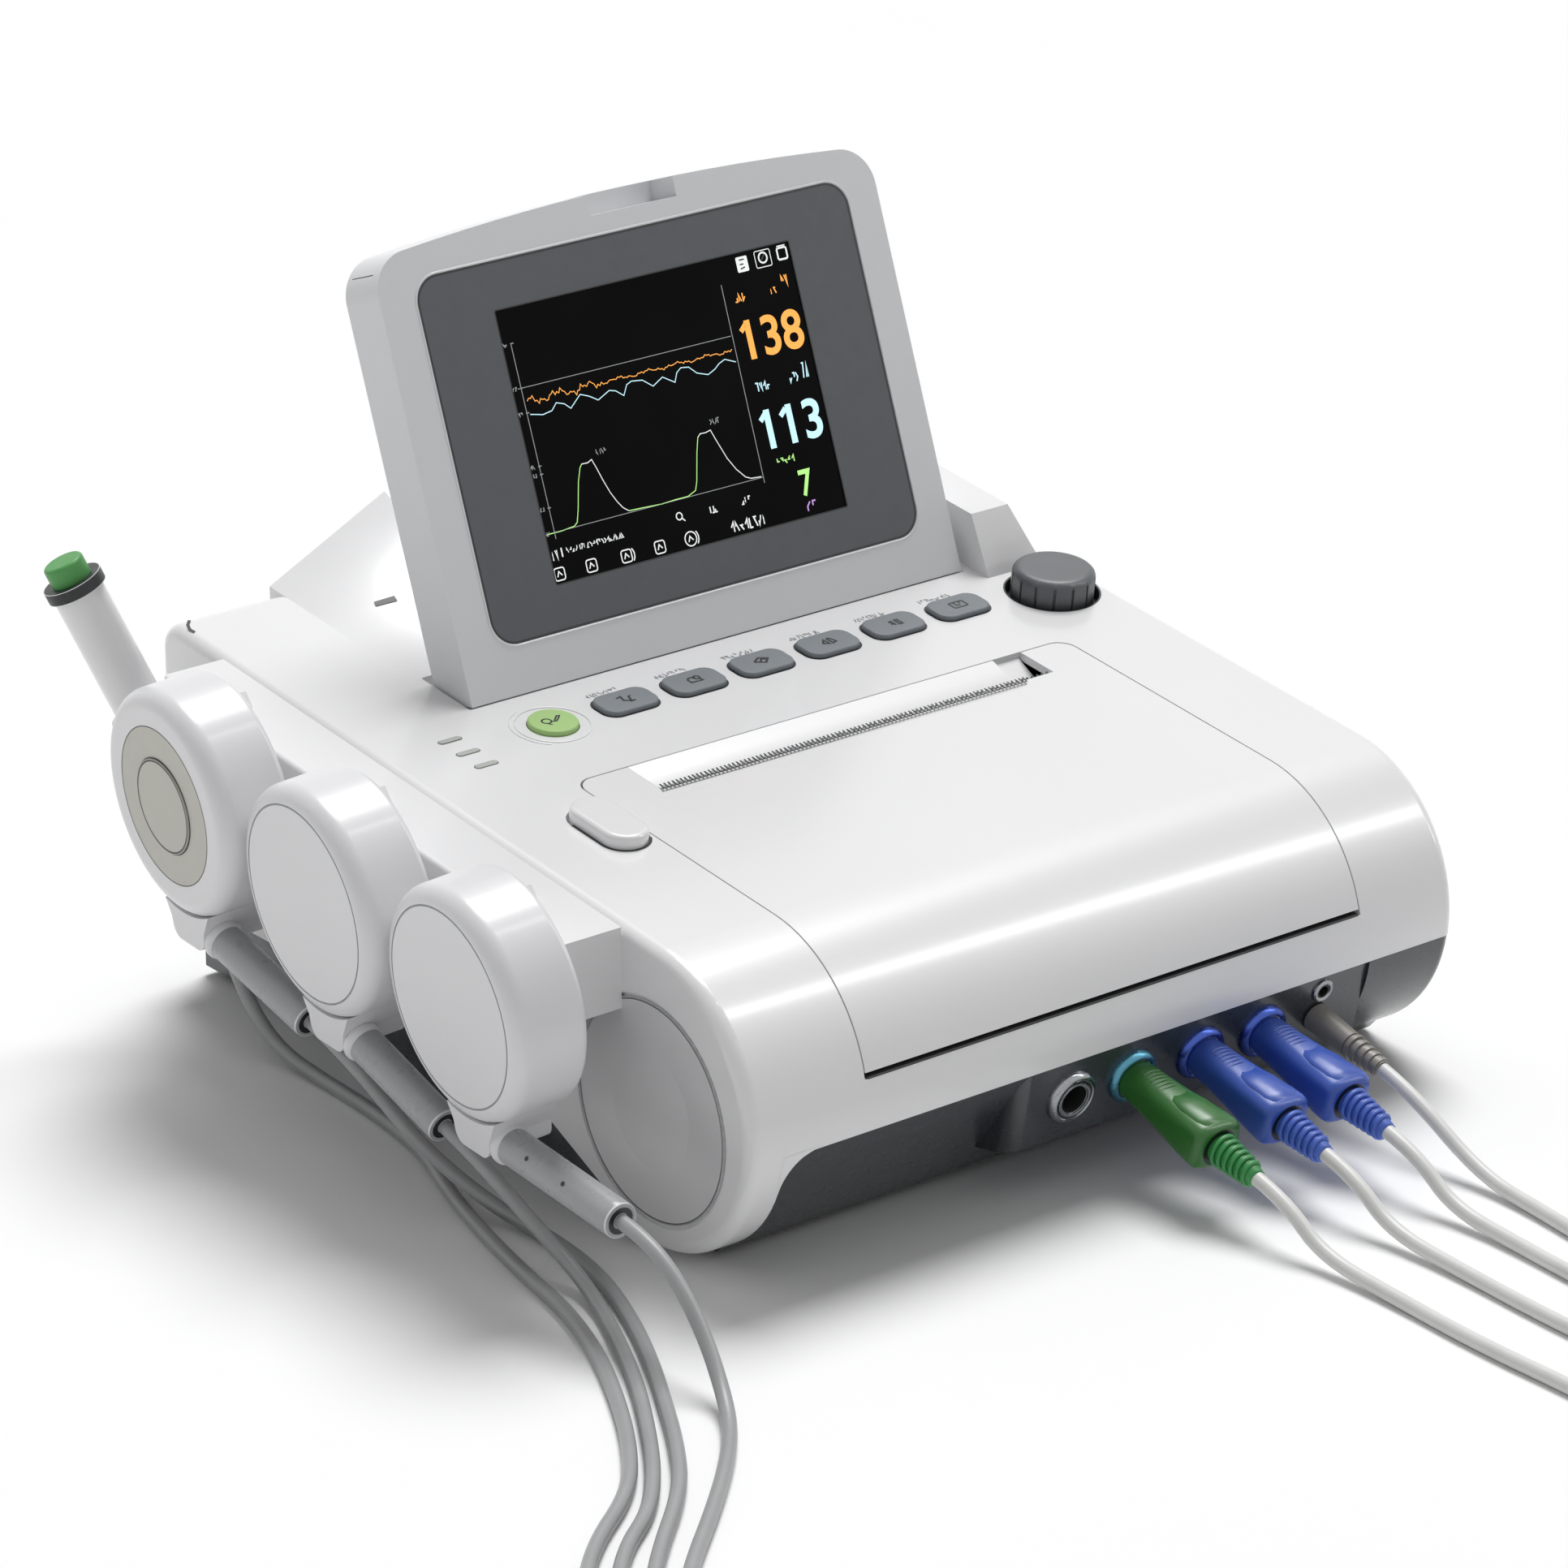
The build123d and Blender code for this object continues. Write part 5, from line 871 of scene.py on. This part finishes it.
def knob():
    """The knob: fourteen faces parted by narrow grooves, under a bevelled rim, in its well with
    painted shade.
    """
    place = deck_frame(142.6, 16.8)
    faces_round = 14
    pitch = 2 * math.pi / faces_round
    floor_turn, lip_turn = 0.028, 0.034     # half a groove's width, at its floor and its lips
    columns = []                            # (turn, depth) once round
    for i in range(faces_round):
        start, end = i * pitch, (i + 1) * pitch
        columns += [(start, -0.95), (start + floor_turn, -0.75), (start + lip_turn, 0)]
        columns += [(start + pitch * part, 0) for part in (0.3, 0.5, 0.7)]
        columns += [(end - lip_turn, 0), (end - floor_turn, -0.75)]
    # radius, height and how far the faces and grooves are cut
    levels = ((13.3, -3.2, 1), (13.45, 0, 1), (13.45, 5.2, 1), (13.3, 6.3, 0.25),
              (12.9, 7.2, 0), (12.1, 7.95, 0), (11.2, 8.3, 0), (10, 8.38, 0),
              (6, 8.2, 0), (0, 8.1, 0))
    rings = []
    for radius, height, cut in levels:
        ring = []
        for turn, depth in columns:
            across = (turn % pitch) - pitch / 2
            flat = math.cos(pitch / 2) / math.cos(across) if cut else 1
            size = radius * (1 - cut + cut * flat) + depth * cut
            ring.append((size * math.cos(turn), size * math.sin(turn), height))
        rings.append(ring)
    grip = [loft(rings, caps=False)]
    made = piece("knob_grip", grip, KNOB, "knob_turn", place, angle=28)
    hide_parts("knob")
    # painted shade round the well's edge and down inside it
    inked_or_shaded("knob_well_edge", [band(15.25, 0.5, 0.06, 64)], place)
    shade = [band(10, 9.8, -4.4, 64), lathe([(14.93, -4.4), (14.93, -0.15)])]
    piece("knob_well_shade", shade, WELL_SHADE, "base", place, flat=True)


def rear_arc():
    """The thin dark arc at the deck's rear left corner."""
    line = [(-2, -3.6), (-2.2, -1.2), (-1, 1.6), (1.2, 4)]
    inked_or_shaded("rear_arc", strokes(1, line), deck_frame(-104, 131.5, 0.07))


def hump_slit():
    """The small dark slot in the left slope of the raised back."""
    front, low = 66, 0.4            # the raised back's height over the deck, front and rear
    rear, high = 143, 21.5
    foot, run = -68, 44             # where the slope starts, and how far it runs
    points = []
    for x, y in ((-52.9, 107.4), (-52.3, 109.4), (-46.1, 107.3), (-46.6, 104.8)):
        rise = low + (high - low) * (y - front) / (rear - front)
        points.append((x, y, deck_z(y) + rise * (x - foot) / run + 0.3))
    inked_or_shaded("hump_slit", [(points, [[0, 1, 2, 3]])], MILLIMETRES)


def key_edges():
    """Painted shade in the gap round each of the six keys."""
    gap = strokes(0.75, rounded(20.7, 13.2, 4.8), closed=True)
    for i in range(6):
        inked_or_shaded(f"key_gap_{i + 1}", gap, deck_frame(keys_left + key_pitch * i, key_y, 0.05))


key_marks()
start_key_ring()
light_slots()
knob()
rear_arc()
hump_slit()
key_edges()


# ------- recorder door
def corner_patch():
    """The cover's lower left front corner, which runs round into the dark base's end."""
    nose_y, nose_z, nose_radius = -103, 50, 47
    outside = nose_radius + 0.04
    left, corner, steps = -97.2, 12, 14
    under_cover = 0.7
    rows = []
    for i in range(steps + 1):
        down = -under_cover + i * (corner + under_cover) / steps
        turn = math.asin(6 / nose_radius) + down / nose_radius
        right = -82.5
        if down >= 0:
            right = -84.5 - math.sqrt(max(corner ** 2 - (corner - down) ** 2, 0))
        y, z = nose_y - outside * math.cos(turn), nose_z - outside * math.sin(turn)
        rows.append([(x, y, z) for x in (left, (left + right) / 2, right)])
    points = [point for row in rows for point in row]
    faces = [[3 * i + k, 3 * i + k + 1, 3 * i + k + 4, 3 * i + k + 3]
             for i in range(steps) for k in range(2)]
    piece("corner_patch", [(points, faces)], HOUSING, "base")


def tear_root_shade():
    """Painted shade at the roots between the tear bar's fine slanting teeth."""
    first, pitch, teeth = -47, 1.5, 94
    lines = [[(first + pitch * i, -1.6), (first + pitch * i + 0.6, 1.3)] for i in range(teeth)]
    root_shade = strokes(0.62, *lines) + strokes(0.5, [(-47.6, -1.6), (92.8, -1.6)])
    inked_or_shaded("tear_root_shade", root_shade, deck_frame(0, -28.4, 0.75), "door")


def latch_shadow():
    """The painted shadow in the gap along the latch's left and front edges."""
    length, width, reach = 29, 14.6, 7.75
    straight = (length - width) / 2
    line = [(-reach, straight)] + arc(0, -straight, reach, 180, 335, 20)
    inked_or_shaded("latch_shadow", strokes(1.15, line), deck_frame(-75.6, -41, 0.05))


def slot_shade_liner():
    """A black liner in the slot under the door's front edge: painted shade in the slot."""
    lip = frame_of((27.85, -146.6, 60), (1, 0, 0), (0, 1, 0))
    outer, inner = rounded(188.4, 5.2, 0.6), rounded(188, 4.8, 0.4)
    levels = ((outer, 0), (outer, 0.35), (inner, 0.55))
    shade_liner = loft([[(x, y, z) for x, y in outline] for outline, z in levels])
    piece("slot_shade_liner", [shade_liner], WELL_SHADE, "base", lip)


corner_patch()
tear_root_shade()
latch_shadow()
slot_shade_liner()


# ------- transducers
lean, yaw = math.radians(5), math.radians(4)
flat_out = math.cos(lean)
transducer_out = Vector((-flat_out * math.cos(yaw), flat_out * math.sin(yaw), -math.sin(lean)))
transducer_right = Vector((-math.sin(yaw), -math.cos(yaw), 0))
transducer_y = {"toco": 65, "ultrasound_1": -6.5, "ultrasound_2": -78}
face = 24         # a transducer's thickness

SLEEVE = moulded("relief_sleeve", "a9aaac", 0.3, 0.01, 0.04)
FACE_LINE = ink("face_line", "9b9c9e")


def transducer_frame(body):
    """A transducer's rear face: x towards the front of the monitor, y up, z outwards."""
    y = transducer_y[body]
    up = transducer_out.cross(transducer_right)
    return frame_of((-134.9, y, deck_z(y) - 15.5), transducer_right, up)


def toco_insert():
    """The beige ring let into the toco transducer's face, and painted shade in the gaps round it.
    """
    place = transducer_frame("toco")
    ring = [band(19.95, 9.5, face)]
    piece("toco_insert", ring, BEIGE, "toco", place, flat=True)
    gaps = [band(15, 0.55, face + 0.06), band(24.75, 0.3, face + 0.05)]
    inked_or_shaded("toco_gaps", gaps, place, "toco")
    button = nodes["toco_button"]
    top = max((button.matrix_world @ v.co - place.translation).dot(transducer_out)
              for v in button.data.vertices) / MM
    # painted shade in the gap round the button's top
    edge = [band(14.3, 0.55, top + 0.04)]
    inked_or_shaded("toco_button_edge", edge, place, "toco_button")


def face_lines():
    """The fine line round each ultrasound transducer's face."""
    for number in (1, 2):
        body = f"ultrasound_{number}"
        ring = [band(30.2, 0.34, face + 0.04, 96)]
        place = transducer_frame(body)
        piece(f"face_line_{number}", ring, FACE_LINE, body, place, flat=True)


def relief(name, body, length, fall, holes=False):
    """A cord's grey relief sleeve, with its white collar, and painted shade in its open end and in
    its holes where it has them.
    """
    start = transducer_frame(body) @ Vector((6, -41, 16)) / MM
    drop = math.radians(fall)
    way = Vector((0, -math.cos(drop), -math.sin(drop)))
    across = Vector((1, 0, 0))
    place = frame_of(start, across, way.cross(across))
    sleeve = lathe([(5.5, 7), (5.58, 8), (5.55, length * 0.5), (5.5, length - 2.4),
                    (5.45, length - 0.7), (5.15, length + 0.1), (4.3, length + 0.15),
                    (4, length - 0.1)], 40)
    piece(name + "_sleeve", [sleeve], SLEEVE, body, place)
    collar = lathe([(5.4, 4.4), (6, 4.7), (6.35, 5.6), (6.35, 6.6), (6, 7.6), (5.5, 8)], 40)
    piece(name + "_collar", [collar], PROBE, body, place)
    # painted shade in the sleeve's open end, and in its holes below
    inked_or_shaded(name + "_end", [band(3.3, 1.7, length + 0.06, 32)], place, body)
    if holes:
        side = frame_of(start + way * length / 2, way, Vector((-1, 0, 0.7)).cross(way))
        dots = [polygon(circle(along, 0, 0.75, 14), 5.62) for along in (-9, 8)]
        inked_or_shaded(name + "_holes", dots, side, body)


def marker_ring():
    """The black ring round the marker's neck."""
    foot, along = Vector((-118.5, 120.4, 79)), 68
    axis = Vector((-0.34, 0.24, 0.907))
    back = Vector((0, 1, 0))
    neck = frame_of(foot + axis.normalized() * along, back.cross(axis),
                    back - axis * axis.y / axis.length_squared)
    ring = [(8.05, -0.03), (9.2, -0.03), (9.42, 0.25), (9.42, 3.8), (9.2, 4.03), (6.5, 4.03)]
    piece("marker_ring", [lathe(ring, 48)], BLACK, "marker", neck)


toco_insert()
face_lines()
marker_ring()
relief("toco_relief", "toco", 52, 13.5)
relief("ultrasound_relief_1", "ultrasound_1", 48, 17)
relief("ultrasound_relief_2", "ultrasound_2", 58, 5, holes=True)


# ------- sockets and plugs
face_run = math.tan(math.radians(13))
open_x, green_x, blue_1_x, blue_2_x = 12.5, 36, 62.6, 87.2

CHROME = metal("chrome", "9da0a3", 0.2, (1, 1, 4))
CYAN_RING = metal("cyan_ring", "5a93a8", 0.32, (1, 1, 4))
BLUE_RING = metal("blue_ring", "4a5fb0", 0.32, (1, 1, 4))
GREEN_BOOT = moulded("green_boot_plastic", "2f8a44", 0.4, 0.02, 0.1)
BLUE_BOOT = moulded("blue_boot_plastic", "4264c0", 0.4, 0.02, 0.1)


def socket_frame(x, z=31):
    """A plane on the sockets' sloping face, facing out and down."""
    out = Vector((0, -1, -face_run))
    across = Vector((1, 0, 0))
    return frame_of((x, -148.4 + (44 - z) * face_run, z), across, out.cross(across))


def sockets():
    """The open socket's rings and painted shade in its bore, the coloured rings, and the open
    jack's ring and painted shade in its bore.
    """
    profile = [(8.7, 0.02), (8.7, 0.9), (8.3, 1.7), (7.6, 2.35), (6.9, 2.5), (6.5, 2.3), (6.3, 1.9)]
    inner = [(6, 1.9), (5.9, 2.4), (5.4, 2.55), (4.9, 2.4), (4.75, 1.6), (4.7, 0)]
    opening, jack = socket_frame(open_x), socket_frame(109.8, 38.4)

    def ring(name, outline, material, place, steps=64):
        piece(name, [lathe(outline, steps)], material, "base", place)

    # painted shade: the dark lining of a bore
    def bore(name, shapes, place):
        piece(name, shapes, WELL_SHADE, "base", place, flat=True)

    ring("open_ring", profile, CHROME, opening)
    ring("open_inner_ring", inner, CHROME, opening)
    dark = [band(6.2, 0.7, 2.06, 48), lathe([(4.56, 1.9), (4.5, -6), (0, -6)], 40)]
    bore("open_bore_shade", dark, opening)
    ring("green_ring", profile, CYAN_RING, socket_frame(green_x))
    ring("blue_ring_1", profile, BLUE_RING, socket_frame(blue_1_x))
    ring("blue_ring_2", profile, BLUE_RING, socket_frame(blue_2_x))
    small = [(3.9, 0.02), (3.8, 0.7), (3.2, 1.05), (2.6, 1), (2.3, 0.75)]
    ring("jack_ring", small, CHROME, jack, 40)
    dark = [band(2.1, 0.6, 0.75, 30), lathe([(1.74, 0.7), (1.7, -6), (0, -6)], 30)]
    bore("jack_bore_shade", dark, jack)


def squarish(width, height, power, z):
    """A ring between a circle and a rectangle; power 2 is an ellipse."""
    ring = []
    for turn in around(48):
        c, s = math.cos(turn), math.sin(turn)
        x = width / 2 * math.copysign(abs(c) ** (2 / power), c)
        y = height / 2 * math.copysign(abs(s) ** (2 / power), s)
        ring.append((x, y, z))
    return ring


def plug_panel():
    """The flat raised panel along a plug's upper side, from (distance out, width, height)."""
    rows = ((19.5, 3, 6.5), (22, 7, 7), (27, 8.6, 7.6), (34, 9.2, 7.9),
            (37, 8.4, 7.8), (38.4, 6.4, 7))
    points = []
    for z, width, y in rows:
        half, rim = width / 2, width / 2 + 0.8
        points += [(-rim, y - 0.9, z), (-half, y - 0.1, z), (half, y - 0.1, z), (rim, y - 0.9, z)]
    faces = [[4 * i + k, 4 * i + k + 1, 4 * i + k + 5, 4 * i + k + 4]
             for i in range(len(rows) - 1) for k in range(3)]
    return points, faces


def plug_ribs():
    """The six grip ribs across the top of a plug's neck."""
    first, pitch = 8, 1.7
    shapes = []
    for i in range(6):
        reach = 6.5 + 0.05 * i
        line = [(reach * math.sin(t), (reach - 0.15) * math.cos(t))
                for t in (-0.5, -0.3, -0.1, 0.1, 0.3, 0.5)]
        shapes.append(bead(line, 0.42, first + pitch * i))
    return shapes


def boot_coil():
    """The rib wound round a boot, closer in as it runs out."""
    turns, steps, length = 6, 20, 14.6
    count = int(turns * steps)
    rings = []
    for k in range(count + 1):
        share = k / count
        radius = 4.75 - 1.45 * share
        turn = 2 * math.pi * k / steps
        out = Vector((math.cos(turn), math.sin(turn), 0))
        centre = out * radius + Vector((0, 0, 41 + length * share))
        rings.append([tuple(centre + out * 0.75 * math.cos(a) + Vector((0, 0, 0.85)) * math.sin(a))
                      for a in around(8)])
    return loft(rings)


def plug(name, x, body_material, boot_material):
    """A moulded plug: a slim neck, a body with a flat panel and grip ribs, and a ribbed boot."""
    place = socket_frame(x)
    # width, height, power and distance out
    sizes = ((12.6, 12.2, 2, 2), (13, 12.6, 2.1, 6), (13.4, 12.8, 2.3, 12),
             (14.8, 13.4, 2.6, 20), (16.2, 14.2, 3, 27), (17.2, 14.8, 3.4, 33),
             (17.4, 15, 3.6, 37), (17, 14.6, 3.6, 38.6), (15.2, 12.8, 3.2, 39.8),
             (12.6, 11.2, 2.4, 40))
    shapes = [loft([squarish(*size) for size in sizes]), plug_panel()] + plug_ribs()
    made = piece(name + "_body", shapes, body_material, "base", place, angle=50)
    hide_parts(name)
    # painted shade in the gap where the boot leaves the plug's body
    inked_or_shaded(name + "_gap", [band(5.2, 1.5, 40.05, 36)], place)
    cone = lathe([(4.4, 38), (4.3, 42), (3.4, 52), (2.9, 56.4), (2.4, 57), (2.2, 57)], 36)
    boot = [cone, boot_coil()]
    return made, piece(name + "_boot", boot, boot_material, "base", place, angle=60)


sockets()
plugs = {
    "ultrasound_cord_2": plug("green_plug", green_x, GREEN_PLUG, GREEN_BOOT),
    "toco_cord": plug("blue_plug_1", blue_1_x, BLUE_PLUG, BLUE_BOOT),
    "ultrasound_cord_1": plug("blue_plug_2", blue_2_x, BLUE_PLUG, BLUE_BOOT),
    "marker_cord": (nodes["marker_plug"],),
}


# ------- floor, light and camera
def aim(obj, direction, up="Y"):
    """Turn a light or the camera to look along the direction."""
    obj.rotation_mode = "QUATERNION"
    obj.rotation_quaternion = Vector(direction).to_track_quat("-Z", up)


def floor():
    """A plain pale floor, white to the camera where nothing shades it."""
    mesh = bpy.data.meshes.new("floor")
    side = 6
    corners = [(-side, -side, 0), (side, -side, 0), (side, side, 0), (-side, side, 0)]
    mesh.from_pydata(corners, [], [(0, 1, 2, 3)])
    obj = added("floor", mesh)
    made = Shader("floor_paint")
    base = rgb("fbfbfb")
    shade = made.ramp(made.noise(3), 0, 1)
    made.set(Base_Color=made.mix(shade, [c * 0.99 for c in base], base))
    made.set(Roughness=0.9, Specular_IOR_Level=0.1)
    dress(obj, made.material)


def sun():
    """The key light: soft, from above."""
    data = bpy.data.lights.new("key", "SUN")
    data.energy = 2.4
    data.angle = math.radians(30)
    aim(added("key", data), (-0.35, -0.3, -1))


def streak():
    """A long lamp, seen only as the bright streak along the rounded front."""
    data = bpy.data.lights.new("streak", "AREA")
    data.shape = "RECTANGLE"
    data.size = 2.2
    data.size_y = 0.18
    data.energy = 15
    obj = added("streak", data)
    obj.location = (1.25, -0.9, 1.5)
    aim(obj, (-1.25, 0.77, -1.42), "X")
    obj.visible_camera = False
    obj.visible_diffuse = False


def world():
    """White where it is seen or mirrored, and a softer white as light."""
    made = bpy.data.worlds.new("studio")
    bpy.context.scene.world = made
    made.use_nodes = True
    tree = made.node_tree
    tree.nodes.clear()

    def linked(kind, *sources):
        node = tree.nodes.new("ShaderNode" + kind)
        for socket, source in zip(node.inputs, sources):
            tree.links.new(source, socket)
        return node

    def background(strength):
        node = linked("Background")
        node.inputs["Color"].default_value = (1, 1, 1, 1)
        node.inputs["Strength"].default_value = strength
        return node.outputs[0]

    path = linked("LightPath").outputs
    seen = linked("Math", path["Is Camera Ray"], path["Is Transmission Ray"])
    both = linked("Math", seen.outputs[0], path["Is Glossy Ray"])
    seen.operation = both.operation = "MAXIMUM"
    mix = linked("MixShader", both.outputs[0], background(0.34), background(1))
    linked("OutputWorld", mix.outputs[0])


def camera():
    """A long lens from the front left, above the deck."""
    data = bpy.data.cameras.new("camera")
    data.sensor_width = 36
    data.lens = 156.77
    data.clip_start = 0.1
    data.clip_end = 50
    obj = added("camera", data)
    obj.location = (-1.172178, -1.507445, 0.862881)
    aim(obj, (0.575, 0.726, -0.377))
    bpy.context.scene.camera = obj


floor()
world()
sun()
streak()
camera()
bpy.context.scene.view_settings.view_transform = "Standard"
